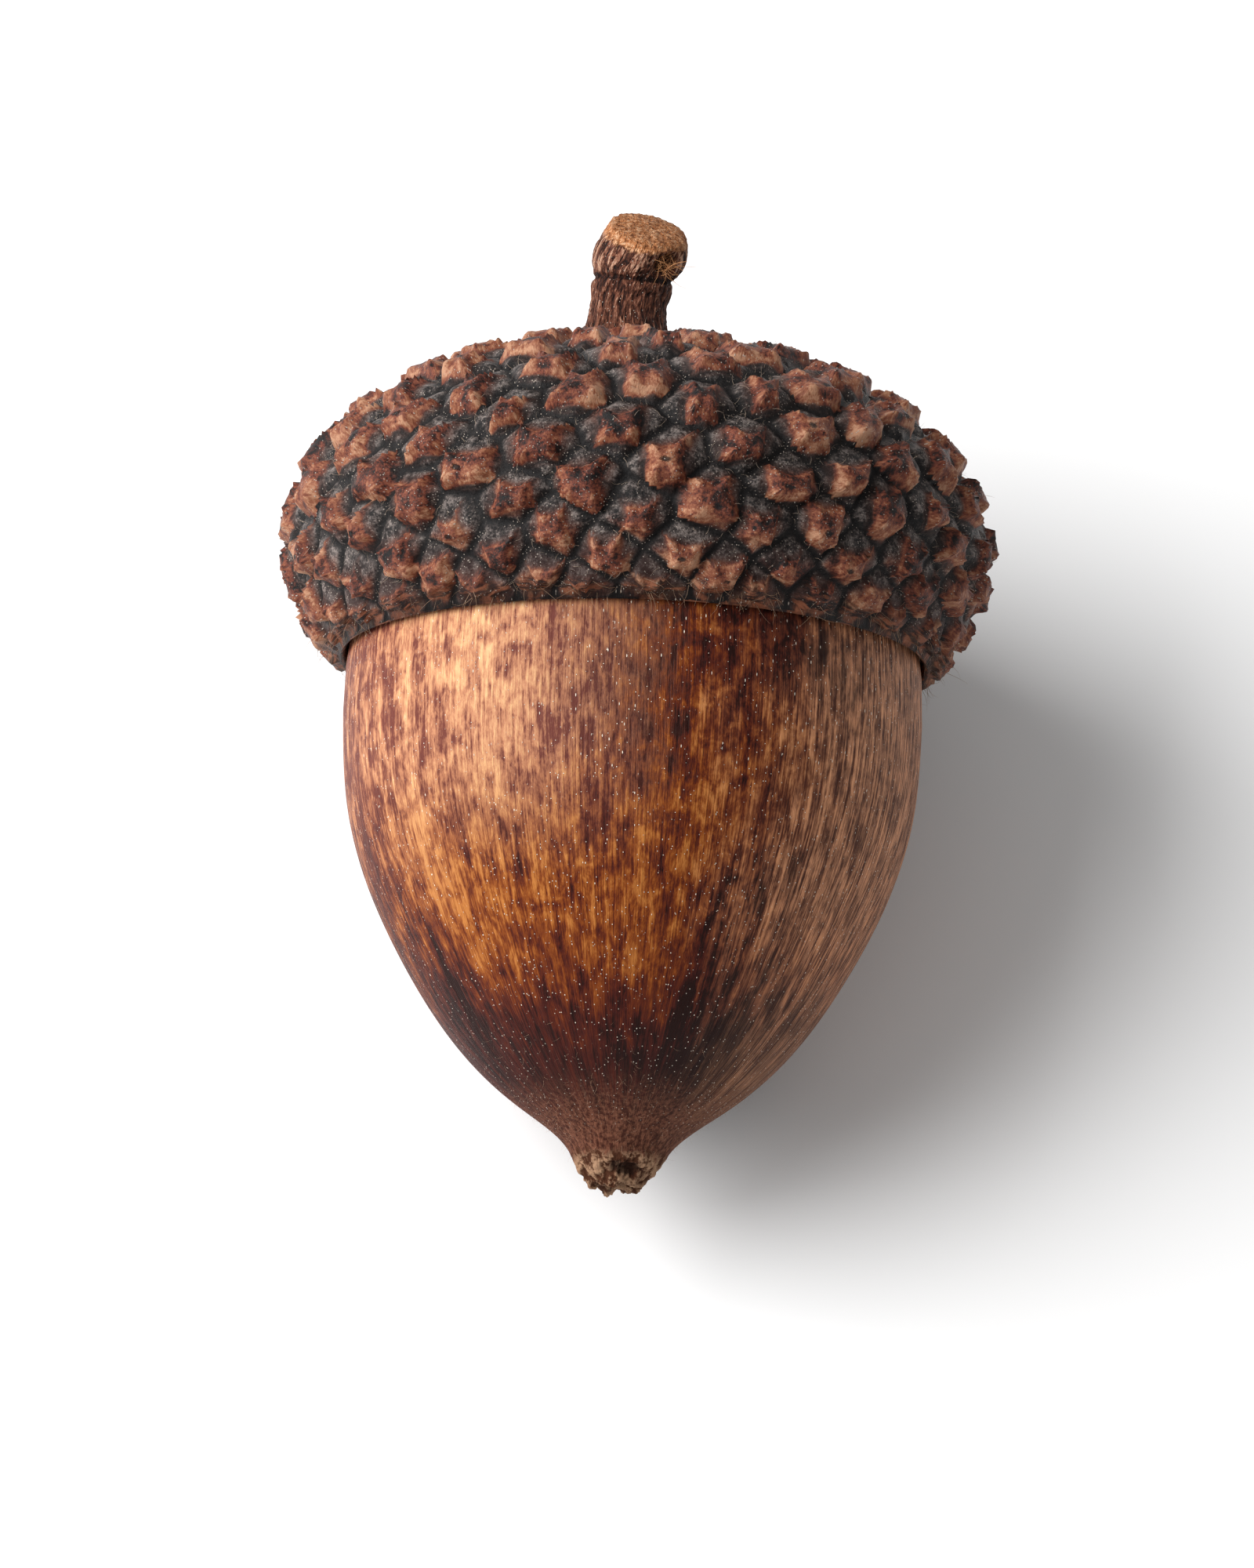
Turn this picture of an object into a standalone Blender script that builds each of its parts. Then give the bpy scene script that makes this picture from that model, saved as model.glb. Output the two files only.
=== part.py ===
"""An acorn lying on its side: a nut, the scaly cap that holds it, and the stub of stalk on the cap's crown.

Each piece is first built standing, with the nut's tip at the origin and the acorn's axis up +Z.
It is then laid down with the tip towards -Y, where it rests on the nut's flank and the cap's lip.
All lengths are in metres.
"""

import math

import bmesh
import bpy
import numpy as np
from mathutils import Matrix, Vector
from mathutils.geometry import delaunay_2d_cdt

# Nut
NUT_LENGTH = 0.0275
NUT_RADIUS = 0.0100
NUT_WIDEST = 0.0165
NUT_TOP_SQUARENESS = 2.3
# Height above the tip and radius, up the nut's tapering end
NUT_TAPER = (
    (0.00015, 0.00088),
    (0.00080, 0.00140),
    (0.00150, 0.00183),
    (0.00220, 0.00256),
    (0.00300, 0.00365),
    (0.00400, 0.00484),
    (0.00550, 0.00618),
    (0.00750, 0.00750),
    (0.01000, 0.00878),
    (0.01300, 0.00972),
    (NUT_WIDEST, NUT_RADIUS),
)
NUT_SIDES = 60
NUT_TAPER_RINGS = 26
NUT_TOP_RINGS = 8
TAPER_CROWDING = 1.5
TIP_HOLLOW_RADIUS = 0.00062
TIP_HOLLOW_STEP = 0.0001
TIP_HOLLOW_DEPTH = 0.00045
TIP_RAGGEDNESS = 0.00016
TIP_LEAN = 0.00018
TIP_FADE = 0.0009
# Waves round the ragged tip, as share of the raggedness, count and start
TIP_WAVES = ((0.5, 5, 1.0), (0.3, 9, 0.0), (0.4, 2, 2.0))

# Cap
CAP_RADIUS = 0.01258
CAP_APEX = 0.0299
CAP_WIDEST = 0.02226
CAP_RIM = 0.01842
CAP_RIM_RADIUS = 0.01032
CAP_DOME_SQUARENESS = 2.17
CAP_LIP_SQUARENESS = 1.6
CAP_SIDES = 80
CAP_INNER_RINGS = 8
CAP_LIP_RISE = 0.00012
CAP_INNER_START = 0.0005
CREST_STEPS = 700
FIT_GAP = 0.00025

# Scales of the cap
SCALE_SIZE = 0.00262
SCALE_HEIGHT = 0.00074
CROWN_SHRINK = 0.20
CROWN_REACH = 0.0035
RIM_SHRINK = 0.46
RIM_REACH = 0.0024
RIM_RELIEF_LOSS = 0.45
RIM_BARE = 0.10
RIM_CLEAR = 0.36
FIRST_SCALE_RADIUS = 0.0014
STALK_CLEAR = 0.60
SCALE_TURN = 0.10
SCALE_JITTER = 0.12
SCALE_UNEVEN = 0.10
SCALE_LEAN = 0.07
BEARING_JITTER = 0.32
MIDDLE_SHIFT = 0.08
SHARE_MOST = 0.68
EDGE_CLEAR = 0.992
# How far the parts of a scale reach across its share, and their levels from groove 0 to top 1
HORN_REACH, HORN_SHORTEST, HORN_LEVEL = 0.95, 0.70, 0.16
RIDGE_REACH, RIDGE_LEVEL = 0.52, 0.82
# The hollow sides between horns, in the order right, up, left and down the cap
WAIST_REACH = (0.60, 0.42, 0.60, 0.72)
WAIST_LEVEL = (0.60, 0.50, 0.60, 0.74)
FOOT_REACH = (0.76, 0.66, 0.76, 0.84)
CROWD_STEPS = 2000
GOLDEN_ANGLE = math.pi * (3 - math.sqrt(5))
SEED = 4

# Stalk, as height above the nut's tip, sideways shift of the centre, and radius
STALK_PATH = (
    (0.02943, -0.00051, 0.00176),
    (0.03000, -0.00058, 0.00153),
    (0.03070, -0.00060, 0.00138),
    (0.03130, -0.00055, 0.00134),
    (0.03200, -0.00044, 0.00140),
    (0.03235, -0.00038, 0.00140),
    (0.03270, -0.00028, 0.00157),
    (0.03330, -0.00012, 0.00158),
    (0.03400, 0.00006, 0.00146),
)
STALK_SIDES = 32
STALK_RINGS = 20
STALK_SLANT_FROM = 0.0313
STALK_CUT_SLOPE = 0.72
STALK_CUT_TOWARDS = (0.26, -0.97)
STALK_CUT_DOME = 0.00022
STALK_CUT_RINGS = (0.92, 0.70, 0.40)
# The torn hollow under the cut end: its height, bearing, reach up and round, and depth
STALK_TEAR_HEIGHT = 0.03305
STALK_TEAR_BEARING = -0.93
STALK_TEAR_REACH = 0.00055
STALK_TEAR_WIDTH = 0.42
STALK_TEAR_DEPTH = 0.00045
STALK_RIBS = 9
STALK_RIB_DEPTH = 0.00005

# How far the nut's resting spot is worn flat, and how much further the cap's scales are
FLAT_DEPTH = 0.00016
CAP_SETTLE = 0.00012
STEEPEST_REST = math.radians(45)
TOUCH = 1e-7


def clear_scene():
    for obj in list(bpy.data.objects):
        bpy.data.objects.remove(obj)


def spline(knots, values, at):
    """Natural cubic spline through the knots, read at the given places."""
    step = np.diff(knots)
    count = len(knots)
    system = np.eye(count)
    right = np.zeros(count)
    for i in range(1, count - 1):
        system[i, i - 1 : i + 2] = step[i - 1], 2 * (step[i - 1] + step[i]), step[i]
        right[i] = 6 * (
            (values[i + 1] - values[i]) / step[i]
            - (values[i] - values[i - 1]) / step[i - 1]
        )
    bend = np.linalg.solve(system, right)
    i = np.clip(np.searchsorted(knots, at) - 1, 0, count - 2)
    before = at - knots[i]
    after = knots[i + 1] - at
    return (
        (bend[i] * after**3 + bend[i + 1] * before**3) / (6 * step[i])
        + (values[i] / step[i] - bend[i] * step[i] / 6) * after
        + (values[i + 1] / step[i] - bend[i + 1] * step[i] / 6) * before
    )


def quarter(width, height, squareness, turn):
    """Points of a squarish quarter ellipse, from its side at turn 0 to its end at a quarter turn."""
    return (
        width * np.cos(turn) ** (2 / squareness),
        height * np.sin(turn) ** (2 / squareness),
    )


def nut_taper(count):
    """Heights and radii up the nut from the tip's edge to the widest ring."""
    knots, radii = np.array(NUT_TAPER).T
    crowd = np.linspace(0, 1, count) ** TAPER_CROWDING
    heights = knots[0] + (knots[-1] - knots[0]) * crowd
    return heights, spline(knots, radii, heights)


def nut_top(count, gap=0.0):
    """Heights and radii of the nut inside the cap, a gap outside it, from the widest ring to the pole."""
    turn = np.linspace(0, math.pi / 2, count)
    radii, heights = quarter(
        NUT_RADIUS + gap, NUT_LENGTH - NUT_WIDEST + gap, NUT_TOP_SQUARENESS, turn
    )
    return NUT_WIDEST + heights, radii


def turned(heights, radii, sides, shift=None, swell=None):
    """Rings of points round the axis, as an array of rings by sides by 3."""
    angle = np.arange(sides) * 2 * math.pi / sides
    radius = np.asarray(radii)[:, None] * (1 if swell is None else swell)
    across = np.zeros(len(heights)) if shift is None else np.asarray(shift)
    return np.stack(
        (
            across[:, None] + radius * np.cos(angle),
            radius * np.sin(angle),
            np.repeat(np.asarray(heights)[:, None], sides, axis=1),
        ),
        axis=2,
    )


def ring_faces(first, second, flip=False):
    """Quads between two rings of vertex indices, facing out when the second ring is higher."""
    faces = []
    for i in range(len(first)):
        j = (i + 1) % len(first)
        quad = (first[i], first[j], second[j], second[i])
        faces.append(quad[::-1] if flip else quad)
    return faces


def fan_faces(ring, pole, flip=False):
    """Triangles from a ring to a pole above it, facing up."""
    faces = []
    for i in range(len(ring)):
        corner = (ring[i], ring[(i + 1) % len(ring)], pole)
        faces.append(corner[::-1] if flip else corner)
    return faces


def index_rings(rings, start=0):
    count, sides = rings.shape[:2]
    return [list(range(start + i * sides, start + (i + 1) * sides)) for i in range(count)]


def nut_shape():
    """The nut as one solid: smooth flank, drawn-in neck and a ragged tip with a shallow hollow."""
    low_heights, low_radii = nut_taper(NUT_TAPER_RINGS)
    high_heights, high_radii = nut_top(NUT_TOP_RINGS + 2)
    heights = np.concatenate((low_heights, high_heights[1:-1]))
    radii = np.concatenate((low_radii, high_radii[1:-1]))
    near_tip = np.exp(-heights / TIP_FADE)
    rings = turned(heights, radii, NUT_SIDES, shift=-TIP_LEAN * near_tip)
    angle = np.arange(NUT_SIDES) * 2 * math.pi / NUT_SIDES
    torn = sum(share * np.sin(count * angle + start) for share, count, start in TIP_WAVES)
    rings[:, :, 2] += TIP_RAGGEDNESS * near_tip[:, None] * torn
    hollow = turned(
        [low_heights[0] + TIP_HOLLOW_STEP], [TIP_HOLLOW_RADIUS], NUT_SIDES, [-TIP_LEAN]
    )
    poles = [
        (-TIP_LEAN, 0, low_heights[0] + TIP_HOLLOW_DEPTH),
        (0, 0, NUT_LENGTH),
    ]
    points = np.concatenate((rings.reshape(-1, 3), hollow.reshape(-1, 3), poles))
    index = index_rings(rings)
    inner = index_rings(hollow, rings.shape[0] * NUT_SIDES)[0]
    floor, crown = len(points) - 2, len(points) - 1
    faces = [quad for a, b in zip(index, index[1:]) for quad in ring_faces(a, b)]
    faces += ring_faces(index[0], inner, flip=True)
    faces += fan_faces(inner, floor, flip=True)
    faces += fan_faces(index[-1], crown)
    return points, faces


def cap_crest_line():
    """Heights and radii along the tops of the scales, from the crown's pole to the rim."""
    turn = np.linspace(math.pi / 2, 0, CREST_STEPS)
    dome_radii, dome_heights = quarter(
        CAP_RADIUS, CAP_APEX - CAP_WIDEST, CAP_DOME_SQUARENESS, turn
    )
    drop, fall = quarter(
        CAP_RADIUS - CAP_RIM_RADIUS, CAP_WIDEST - CAP_RIM, CAP_LIP_SQUARENESS, turn[::-1]
    )
    heights = np.concatenate((CAP_WIDEST + dome_heights, CAP_WIDEST - fall[1:]))
    radii = np.concatenate((dome_radii, CAP_RIM_RADIUS + drop[1:]))
    return heights, radii


class CapSurface:
    """The cap's outside by its distance down from the crown's pole, with the grooves as ground level."""

    def __init__(self):
        heights, radii = cap_crest_line()
        step = np.hypot(np.diff(heights), np.diff(radii))
        self.down = np.concatenate(([0], np.cumsum(step)))
        self.length = self.down[-1]
        slope_height = np.gradient(heights, self.down)
        slope_radius = np.gradient(radii, self.down)
        size = np.hypot(slope_height, slope_radius)
        self.out_radius = -slope_height / size
        self.out_height = slope_radius / size
        self.heights = heights
        self.radii = radii
        ground = np.maximum(radii, 1e-5)
        self.spread = np.exp(
            np.concatenate(([0], np.cumsum(step / (0.5 * (ground[1:] + ground[:-1])))))
        )
        self.spread /= np.interp(
            FIRST_SCALE_RADIUS, radii[:CREST_STEPS], self.spread[:CREST_STEPS]
        )

    def down_at_radius(self, radius):
        """Distance down the dome at which it is this wide."""
        return float(np.interp(radius, self.radii[:CREST_STEPS], self.down[:CREST_STEPS]))

    def mapped(self, down, angle):
        """Place in a flat map of the cap that keeps small shapes true, as a complex number."""
        spread = float(np.interp(down, self.down, self.spread))
        return spread * complex(math.cos(angle), math.sin(angle))

    def down_at_spread(self, spread):
        return float(np.interp(spread, self.spread, self.down))

    def radius_at(self, down):
        return np.interp(down, self.down, self.radii)

    def relief_at(self, down):
        """Height of a scale above the grooves, less at the rim's edge."""
        return SCALE_HEIGHT * (
            1 - RIM_RELIEF_LOSS * np.exp(-(self.length - down) / RIM_REACH)
        )

    def scale_size_at(self, down):
        shrink = CROWN_SHRINK * np.exp(-down / CROWN_REACH)
        return SCALE_SIZE * (
            1 - shrink - RIM_SHRINK * np.exp(-(self.length - down) / RIM_REACH)
        )

    def point(self, spot, level):
        """Point over a place in the flat map, at a level from 0 in the grooves to 1 on the scales' tops."""
        down = self.down_at_spread(abs(spot))
        depth = self.relief_at(down) * (1 - level)
        radius = self.radius_at(down) - depth * np.interp(down, self.down, self.out_radius)
        height = np.interp(down, self.down, self.heights) - depth * np.interp(
            down, self.down, self.out_height
        )
        around = spot / abs(spot)
        return float(radius * around.real), float(radius * around.imag), float(height)


def scale_centres(surface, chance):
    """Scales set one after another by the golden angle, as points of the flat map."""
    first = surface.down_at_radius(FIRST_SCALE_RADIUS)
    down = np.linspace(first, surface.length, CROWD_STEPS)
    share = math.sqrt(3) / 2 * surface.scale_size_at(down) ** 2
    crowd = 2 * math.pi * surface.radius_at(down) / share
    total = np.concatenate(([0], np.cumsum((crowd[1:] + crowd[:-1]) / 2 * np.diff(down))))
    centres = []
    for i in range(int(total[-1])):
        place = float(np.interp(i + 0.5, total, down))
        size = float(surface.scale_size_at(place))
        if place > surface.length - RIM_BARE * size:
            break
        nudge = chance.uniform(-SCALE_JITTER, SCALE_JITTER, 2) * size
        radius = float(surface.radius_at(place))
        angle = i * GOLDEN_ANGLE + SCALE_TURN + nudge[0] / radius
        from_stalk = math.hypot(
            radius * math.cos(angle) - STALK_PATH[0][1], radius * math.sin(angle)
        )
        if from_stalk > STALK_PATH[0][2] + STALK_CLEAR * size:
            last_row = surface.length - RIM_CLEAR * size
            centres.append(surface.mapped(min(place + nudge[1], last_row), angle))
    return np.array(centres)


def room_towards(direction, steps, most):
    """Distance from a scale's centre to the edge of its own share, in one direction."""
    along = (steps * direction.conjugate()).real
    near = along > TOUCH
    reach = abs(steps[near]) ** 2 / (2 * along[near])
    return float(reach.min(initial=most))


def scale_points(surface, centre, others, chance):
    """One scale: a raised middle, four ridges running out to low horns, and four hollow sides between them.

    Each point is a place in the flat map with a level. Steps from the middle are complex numbers in metres,
    real down the cap and imaginary round it.
    """
    down = surface.down_at_spread(abs(centre))
    unit = float(surface.radius_at(down))
    size = float(surface.scale_size_at(down))
    past_rim = centre * (2 * EDGE_CLEAR * surface.spread[-1] / abs(centre) - 1)
    steps = (np.append(others, past_rim) / centre - 1) * unit
    top = 1 - chance.uniform(0, SCALE_UNEVEN)
    lean = complex(*chance.uniform(-SCALE_LEAN, SCALE_LEAN, 2)) * size
    points = [(MIDDLE_SHIFT * size + lean, top)]
    ridges = []
    feet = []
    for k in range(8):
        bearing = math.pi / 4 * (k + 1) + chance.uniform(-BEARING_JITTER, BEARING_JITTER)
        direction = complex(math.cos(bearing), math.sin(bearing))
        room = room_towards(direction, steps, SHARE_MOST * size)
        if k % 2 == 0:
            reach = HORN_REACH * chance.uniform(HORN_SHORTEST, 1)
            points.append((direction * room * reach, HORN_LEVEL))
            ridges.append((direction * room * RIDGE_REACH, RIDGE_LEVEL * top))
        else:
            side = k // 2
            points.append((direction * room * WAIST_REACH[side], WAIST_LEVEL[side] * top))
            feet.append((direction * room * FOOT_REACH[side], 0.0))
    return [(centre * (1 + step / unit), level) for step, level in points + feet + ridges]


def scale_edges(start):
    """Ridges, the outline of horns and sides, and the outline of the feet, as pairs of a scale's points."""
    outline = [start + 1 + k for k in range(8)]
    feet = [start + 9 + k for k in range(4)]
    ridges = [start + 13 + k for k in range(4)]
    edges = [(outline[k], outline[(k + 1) % 8]) for k in range(8)]
    for k in range(4):
        horn, side, next_horn = outline[2 * k], outline[2 * k + 1], outline[(2 * k + 2) % 8]
        edges += [(start, ridges[k]), (ridges[k], horn), (start, side)]
        edges += [(horn, feet[k]), (feet[k], next_horn)]
    return edges


def cap_outside():
    """The scaly outside, as placed points, triangles and the ring of points round the rim."""
    surface = CapSurface()
    chance = np.random.default_rng(SEED)
    centres = scale_centres(surface, chance)
    placed = []
    edges = []
    for i, centre in enumerate(centres):
        edges += scale_edges(len(placed))
        placed += scale_points(surface, centre, np.delete(centres, i), chance)
    rim = []
    for i in range(CAP_SIDES):
        rim.append(len(placed))
        placed.append((surface.mapped(surface.length, i * 2 * math.pi / CAP_SIDES), 0.0))
    edges += [(rim[i], rim[(i + 1) % CAP_SIDES]) for i in range(CAP_SIDES)]
    placed.append((surface.mapped(surface.down[1], 0.0), 0.0))
    flat = [Vector((spot.real, spot.imag)) for spot, level in placed]
    _, _, faces, origin, _, _ = delaunay_2d_cdt(flat, edges, [], 1, TOUCH)
    points = [surface.point(spot, level) for spot, level in placed]
    triangles = [tuple(origin[corner][0] for corner in face) for face in faces]
    return points, triangles, rim


def cap_shape():
    """The cap as one hollow solid: scaly outside, rounded rim, and a smooth inside that clears the nut."""
    points, faces, rim = cap_outside()
    inner_heights, inner_radii = nut_top(CAP_INNER_RINGS + 2, FIT_GAP)
    edge = turned([CAP_RIM + CAP_LIP_RISE], [NUT_RADIUS + FIT_GAP], CAP_SIDES)
    inner = turned(inner_heights[1:-1], inner_radii[1:-1], CAP_SIDES)
    inner = inner[inner[:, 0, 2] > CAP_RIM + CAP_INNER_START]
    rings = np.concatenate((edge, inner))
    index = index_rings(rings, len(points))
    points = np.concatenate((points, rings.reshape(-1, 3), [(0, 0, inner_heights[-1])]))
    faces = list(faces) + ring_faces(index[0], rim)
    for low, high in zip(index, index[1:]):
        faces += ring_faces(low, high, flip=True)
    faces += fan_faces(index[-1], len(points) - 1, flip=True)
    return points, faces


def stalk_tear(heights, angle):
    """How deep the torn hollow is at each height and bearing, from 0 to 1."""
    off = (angle - STALK_TEAR_BEARING + math.pi) % (2 * math.pi) - math.pi
    up = (heights[:, None] - STALK_TEAR_HEIGHT) / STALK_TEAR_REACH
    return np.exp(-(up**2) - (off / STALK_TEAR_WIDTH) ** 2)


def stalk_shape():
    """The stalk as one solid: flared foot, ring scar, bulge, torn hollow and a slanting broken end."""
    knots, shifts, radii = np.array(STALK_PATH).T
    heights = np.linspace(knots[0], knots[-1], STALK_RINGS)
    radius = spline(knots, radii, heights)
    angle = np.arange(STALK_SIDES) * 2 * math.pi / STALK_SIDES
    ribs = STALK_RIB_DEPTH * np.cos(STALK_RIBS * angle)
    swell = 1 + (ribs - STALK_TEAR_DEPTH * stalk_tear(heights, angle)) / radius[:, None]
    rings = turned(heights, radius, STALK_SIDES, spline(knots, shifts, heights), swell)
    towards_x, towards_y = STALK_CUT_TOWARDS
    slope = STALK_CUT_SLOPE * (towards_x * (rings[:, :, 0] - shifts[-1]) + towards_y * rings[:, :, 1])
    share = np.clip((heights - STALK_SLANT_FROM) / (knots[-1] - STALK_SLANT_FROM), 0, 1)
    rings[:, :, 2] -= share[:, None] * slope
    normal = np.array((STALK_CUT_SLOPE * towards_x, STALK_CUT_SLOPE * towards_y, 1.0))
    normal *= STALK_CUT_DOME / np.linalg.norm(normal)
    middle = rings[-1].mean(axis=0)
    cut = [
        middle + (rings[-1] - middle) * part + normal * math.sqrt(1 - part**2)
        for part in STALK_CUT_RINGS
    ]
    rings = np.concatenate((rings, cut))
    index = index_rings(rings)
    points = np.concatenate((rings.reshape(-1, 3), [rings[0].mean(axis=0), middle + normal]))
    faces = [quad for a, b in zip(index, index[1:]) for quad in ring_faces(a, b)]
    faces += fan_faces(index[0], len(points) - 2, flip=True)
    faces += fan_faces(index[-1], len(points) - 1)
    return points, faces


def rest_tilt():
    """Angle of the axis above the table at which flank and lip both touch it, and their height."""
    nut_heights, nut_radii = nut_taper(CREST_STEPS)
    cap_heights, cap_radii = cap_crest_line()
    low, high = 0.0, STEEPEST_REST
    for _ in range(50):
        tilt = (low + high) / 2
        nut_low = (nut_heights * math.sin(tilt) - nut_radii * math.cos(tilt)).min()
        cap_low = (cap_heights * math.sin(tilt) - cap_radii * math.cos(tilt)).min() + CAP_SETTLE
        if cap_low < nut_low:
            low = tilt
        else:
            high = tilt
    return tilt, (nut_low + cap_low) / 2


def laying_down():
    """Turns the standing acorn on its side and lowers it until its low spots can be worn flat."""
    tilt, lowest = rest_tilt()
    turn = Matrix.Rotation(tilt - math.pi / 2, 4, "X")
    return Matrix.Translation((0, 0, -lowest - FLAT_DEPTH)) @ turn


def wear_flat(mesh):
    """Cuts away what is below the table's level and closes the cut with flat faces."""
    geometry = mesh.verts[:] + mesh.edges[:] + mesh.faces[:]
    cut = bmesh.ops.bisect_plane(
        mesh, geom=geometry, dist=TOUCH, plane_co=(0, 0, 0), plane_no=(0, 0, -1), clear_outer=True
    )
    edges = [item for item in cut["geom_cut"] if isinstance(item, bmesh.types.BMEdge)]
    if edges:
        bmesh.ops.holes_fill(mesh, edges=edges, sides=0)
    for vert in mesh.verts:
        if vert.co.z < TOUCH:
            vert.co.z = 0


def make_piece(name, shape, material, laid, reference):
    """One object from points and faces, laid down, with its origin at a reference point of the piece."""
    points, faces = shape
    mesh = bmesh.new()
    verts = [mesh.verts.new(laid @ Vector(point)) for point in points]
    for face in faces:
        mesh.faces.new([verts[i] for i in face])
    wear_flat(mesh)
    loose = [vert for vert in mesh.verts if not vert.link_faces]
    bmesh.ops.delete(mesh, geom=loose, context="VERTS")
    bmesh.ops.recalc_face_normals(mesh, faces=mesh.faces[:])
    origin = laid @ Vector(reference)
    bmesh.ops.translate(mesh, verts=mesh.verts[:], vec=-origin)
    data = bpy.data.meshes.new(name)
    mesh.to_mesh(data)
    mesh.free()
    data.materials.append(material)
    obj = bpy.data.objects.new(name, data)
    obj.location = origin
    bpy.context.scene.collection.objects.link(obj)
    return obj


def make_material(name, colour, roughness, sheen):
    material = bpy.data.materials.new(name)
    material.use_nodes = True
    shader = material.node_tree.nodes["Principled BSDF"]
    shader.inputs["Base Color"].default_value = (*colour, 1)
    shader.inputs["Roughness"].default_value = roughness
    shader.inputs["Sheen Weight"].default_value = sheen
    return material


def centre_on_origin(objects):
    """Shifts the whole acorn so that its footprint's middle is at the origin."""
    corners = [obj.location + vert.co for obj in objects for vert in obj.data.vertices]
    for axis in (0, 1):
        places = [corner[axis] for corner in corners]
        middle = (min(places) + max(places)) / 2
        for obj in objects:
            obj.location[axis] -= middle


def main():
    clear_scene()
    laid = laying_down()
    nut_skin = make_material("nut_skin", (0.30, 0.13, 0.05), 0.42, 0.1)
    cap_bark = make_material("cap_bark", (0.13, 0.07, 0.05), 0.75, 0.3)
    stalk_bark = make_material("stalk_bark", (0.20, 0.10, 0.06), 0.8, 0.2)
    objects = [
        make_piece("nut", nut_shape(), nut_skin, laid, (0, 0, 0)),
        make_piece("cap", cap_shape(), cap_bark, laid, (0, 0, CAP_RIM)),
        make_piece("stalk", stalk_shape(), stalk_bark, laid, (STALK_PATH[0][1], 0, STALK_PATH[0][0])),
    ]
    centre_on_origin(objects)


main()
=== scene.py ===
"""An acorn lying on its side: the streaked nut, the scaly cap and the broken stub of stalk."""

import math

import bpy
import numpy as np
from mathutils import Matrix, Vector


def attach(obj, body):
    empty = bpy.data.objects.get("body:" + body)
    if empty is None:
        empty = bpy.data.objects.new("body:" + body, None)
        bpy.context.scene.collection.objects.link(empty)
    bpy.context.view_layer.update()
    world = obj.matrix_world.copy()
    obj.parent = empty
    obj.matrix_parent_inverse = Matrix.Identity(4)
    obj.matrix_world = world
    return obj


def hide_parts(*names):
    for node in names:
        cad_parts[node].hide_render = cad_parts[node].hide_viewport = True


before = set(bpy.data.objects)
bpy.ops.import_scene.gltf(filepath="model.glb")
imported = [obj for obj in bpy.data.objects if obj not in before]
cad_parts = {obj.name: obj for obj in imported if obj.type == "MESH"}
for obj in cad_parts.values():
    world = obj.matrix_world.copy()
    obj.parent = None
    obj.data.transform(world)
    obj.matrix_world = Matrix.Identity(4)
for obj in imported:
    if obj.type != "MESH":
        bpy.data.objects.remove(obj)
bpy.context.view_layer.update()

# Nut. One grown piece with a leathery, fibrous shell: round in the cap, tapering to a drawn-in neck
# and a dry, ragged tip. The fibres run from end to end and gather at the neck. It lies on its flank,
# tip towards -Y, so every piece is first worked out standing on its tip and then laid down.
AXIS_TILT = math.radians(16.7944)
TIP = Vector((-0.0000371, -0.0168597, 0.0054618))
LAID = Matrix.Translation(TIP) @ Matrix.Rotation(AXIS_TILT - math.pi / 2, 4, "X")
MM = 0.001


def laid(points):
    """Points in millimetres, standing on the tip, as places in the row frame, none below the table."""
    turn = np.array(LAID)
    places = np.asarray(points, float) * MM @ turn[:3, :3].T + turn[:3, 3]
    places[:, 2] = np.maximum(places[:, 2], 0)
    return places


def spline(knots, values, at):
    """Natural cubic spline through the knots, read at the given places."""
    step = np.diff(knots)
    count = len(knots)
    system = np.eye(count)
    right = np.zeros(count)
    for i in range(1, count - 1):
        system[i, i - 1 : i + 2] = step[i - 1], 2 * (step[i - 1] + step[i]), step[i]
        right[i] = 6 * ((values[i + 1] - values[i]) / step[i] - (values[i] - values[i - 1]) / step[i - 1])
    bend = np.linalg.solve(system, right)
    i = np.clip(np.searchsorted(knots, at) - 1, 0, count - 2)
    before = at - knots[i]
    after = knots[i + 1] - at
    return (
        (bend[i] * after**3 + bend[i + 1] * before**3) / (6 * step[i])
        + (values[i] / step[i] - bend[i] * step[i] / 6) * after
        + (values[i + 1] / step[i] - bend[i + 1] * step[i] / 6) * before
    )


def turned_mesh(name, rings, first_pole, last_pole, attributes):
    """A closed mesh through rings of points in millimetres, with a pole at each end, facing out."""
    count, sides = rings.shape[:2]
    points = np.concatenate((rings.reshape(-1, 3), [first_pole, last_pole]))
    corner = np.arange(count * sides).reshape(count, sides)
    near = corner[:-1]
    far = corner[1:]
    quads = np.stack((near, np.roll(near, -1, 1), np.roll(far, -1, 1), far), axis=2).reshape(-1, 4)
    foot, top = count * sides, count * sides + 1
    around = np.roll(corner, -1, 1)
    low = np.stack((around[0], corner[0], np.full(sides, foot)), axis=1)
    high = np.stack((corner[-1], around[-1], np.full(sides, top)), axis=1)
    mesh = bpy.data.meshes.new(name)
    mesh.from_pydata(laid(points).tolist(), [], quads.tolist() + low.tolist() + high.tolist())
    mesh.polygons.foreach_set("use_smooth", np.ones(len(mesh.polygons), bool))
    for label, values in attributes.items():
        values = np.asarray(values, np.float32)
        kind = "FLOAT_VECTOR" if values.ndim == 3 else "FLOAT"
        ends = np.stack((values[0].mean(axis=0), values[-1].mean(axis=0)))
        whole = np.concatenate((values.reshape(count * sides, -1), ends.reshape(2, -1)))
        layer = mesh.attributes.new(label, kind, "POINT")
        layer.data.foreach_set("vector" if kind == "FLOAT_VECTOR" else "value", whole.ravel())
    return mesh


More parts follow.
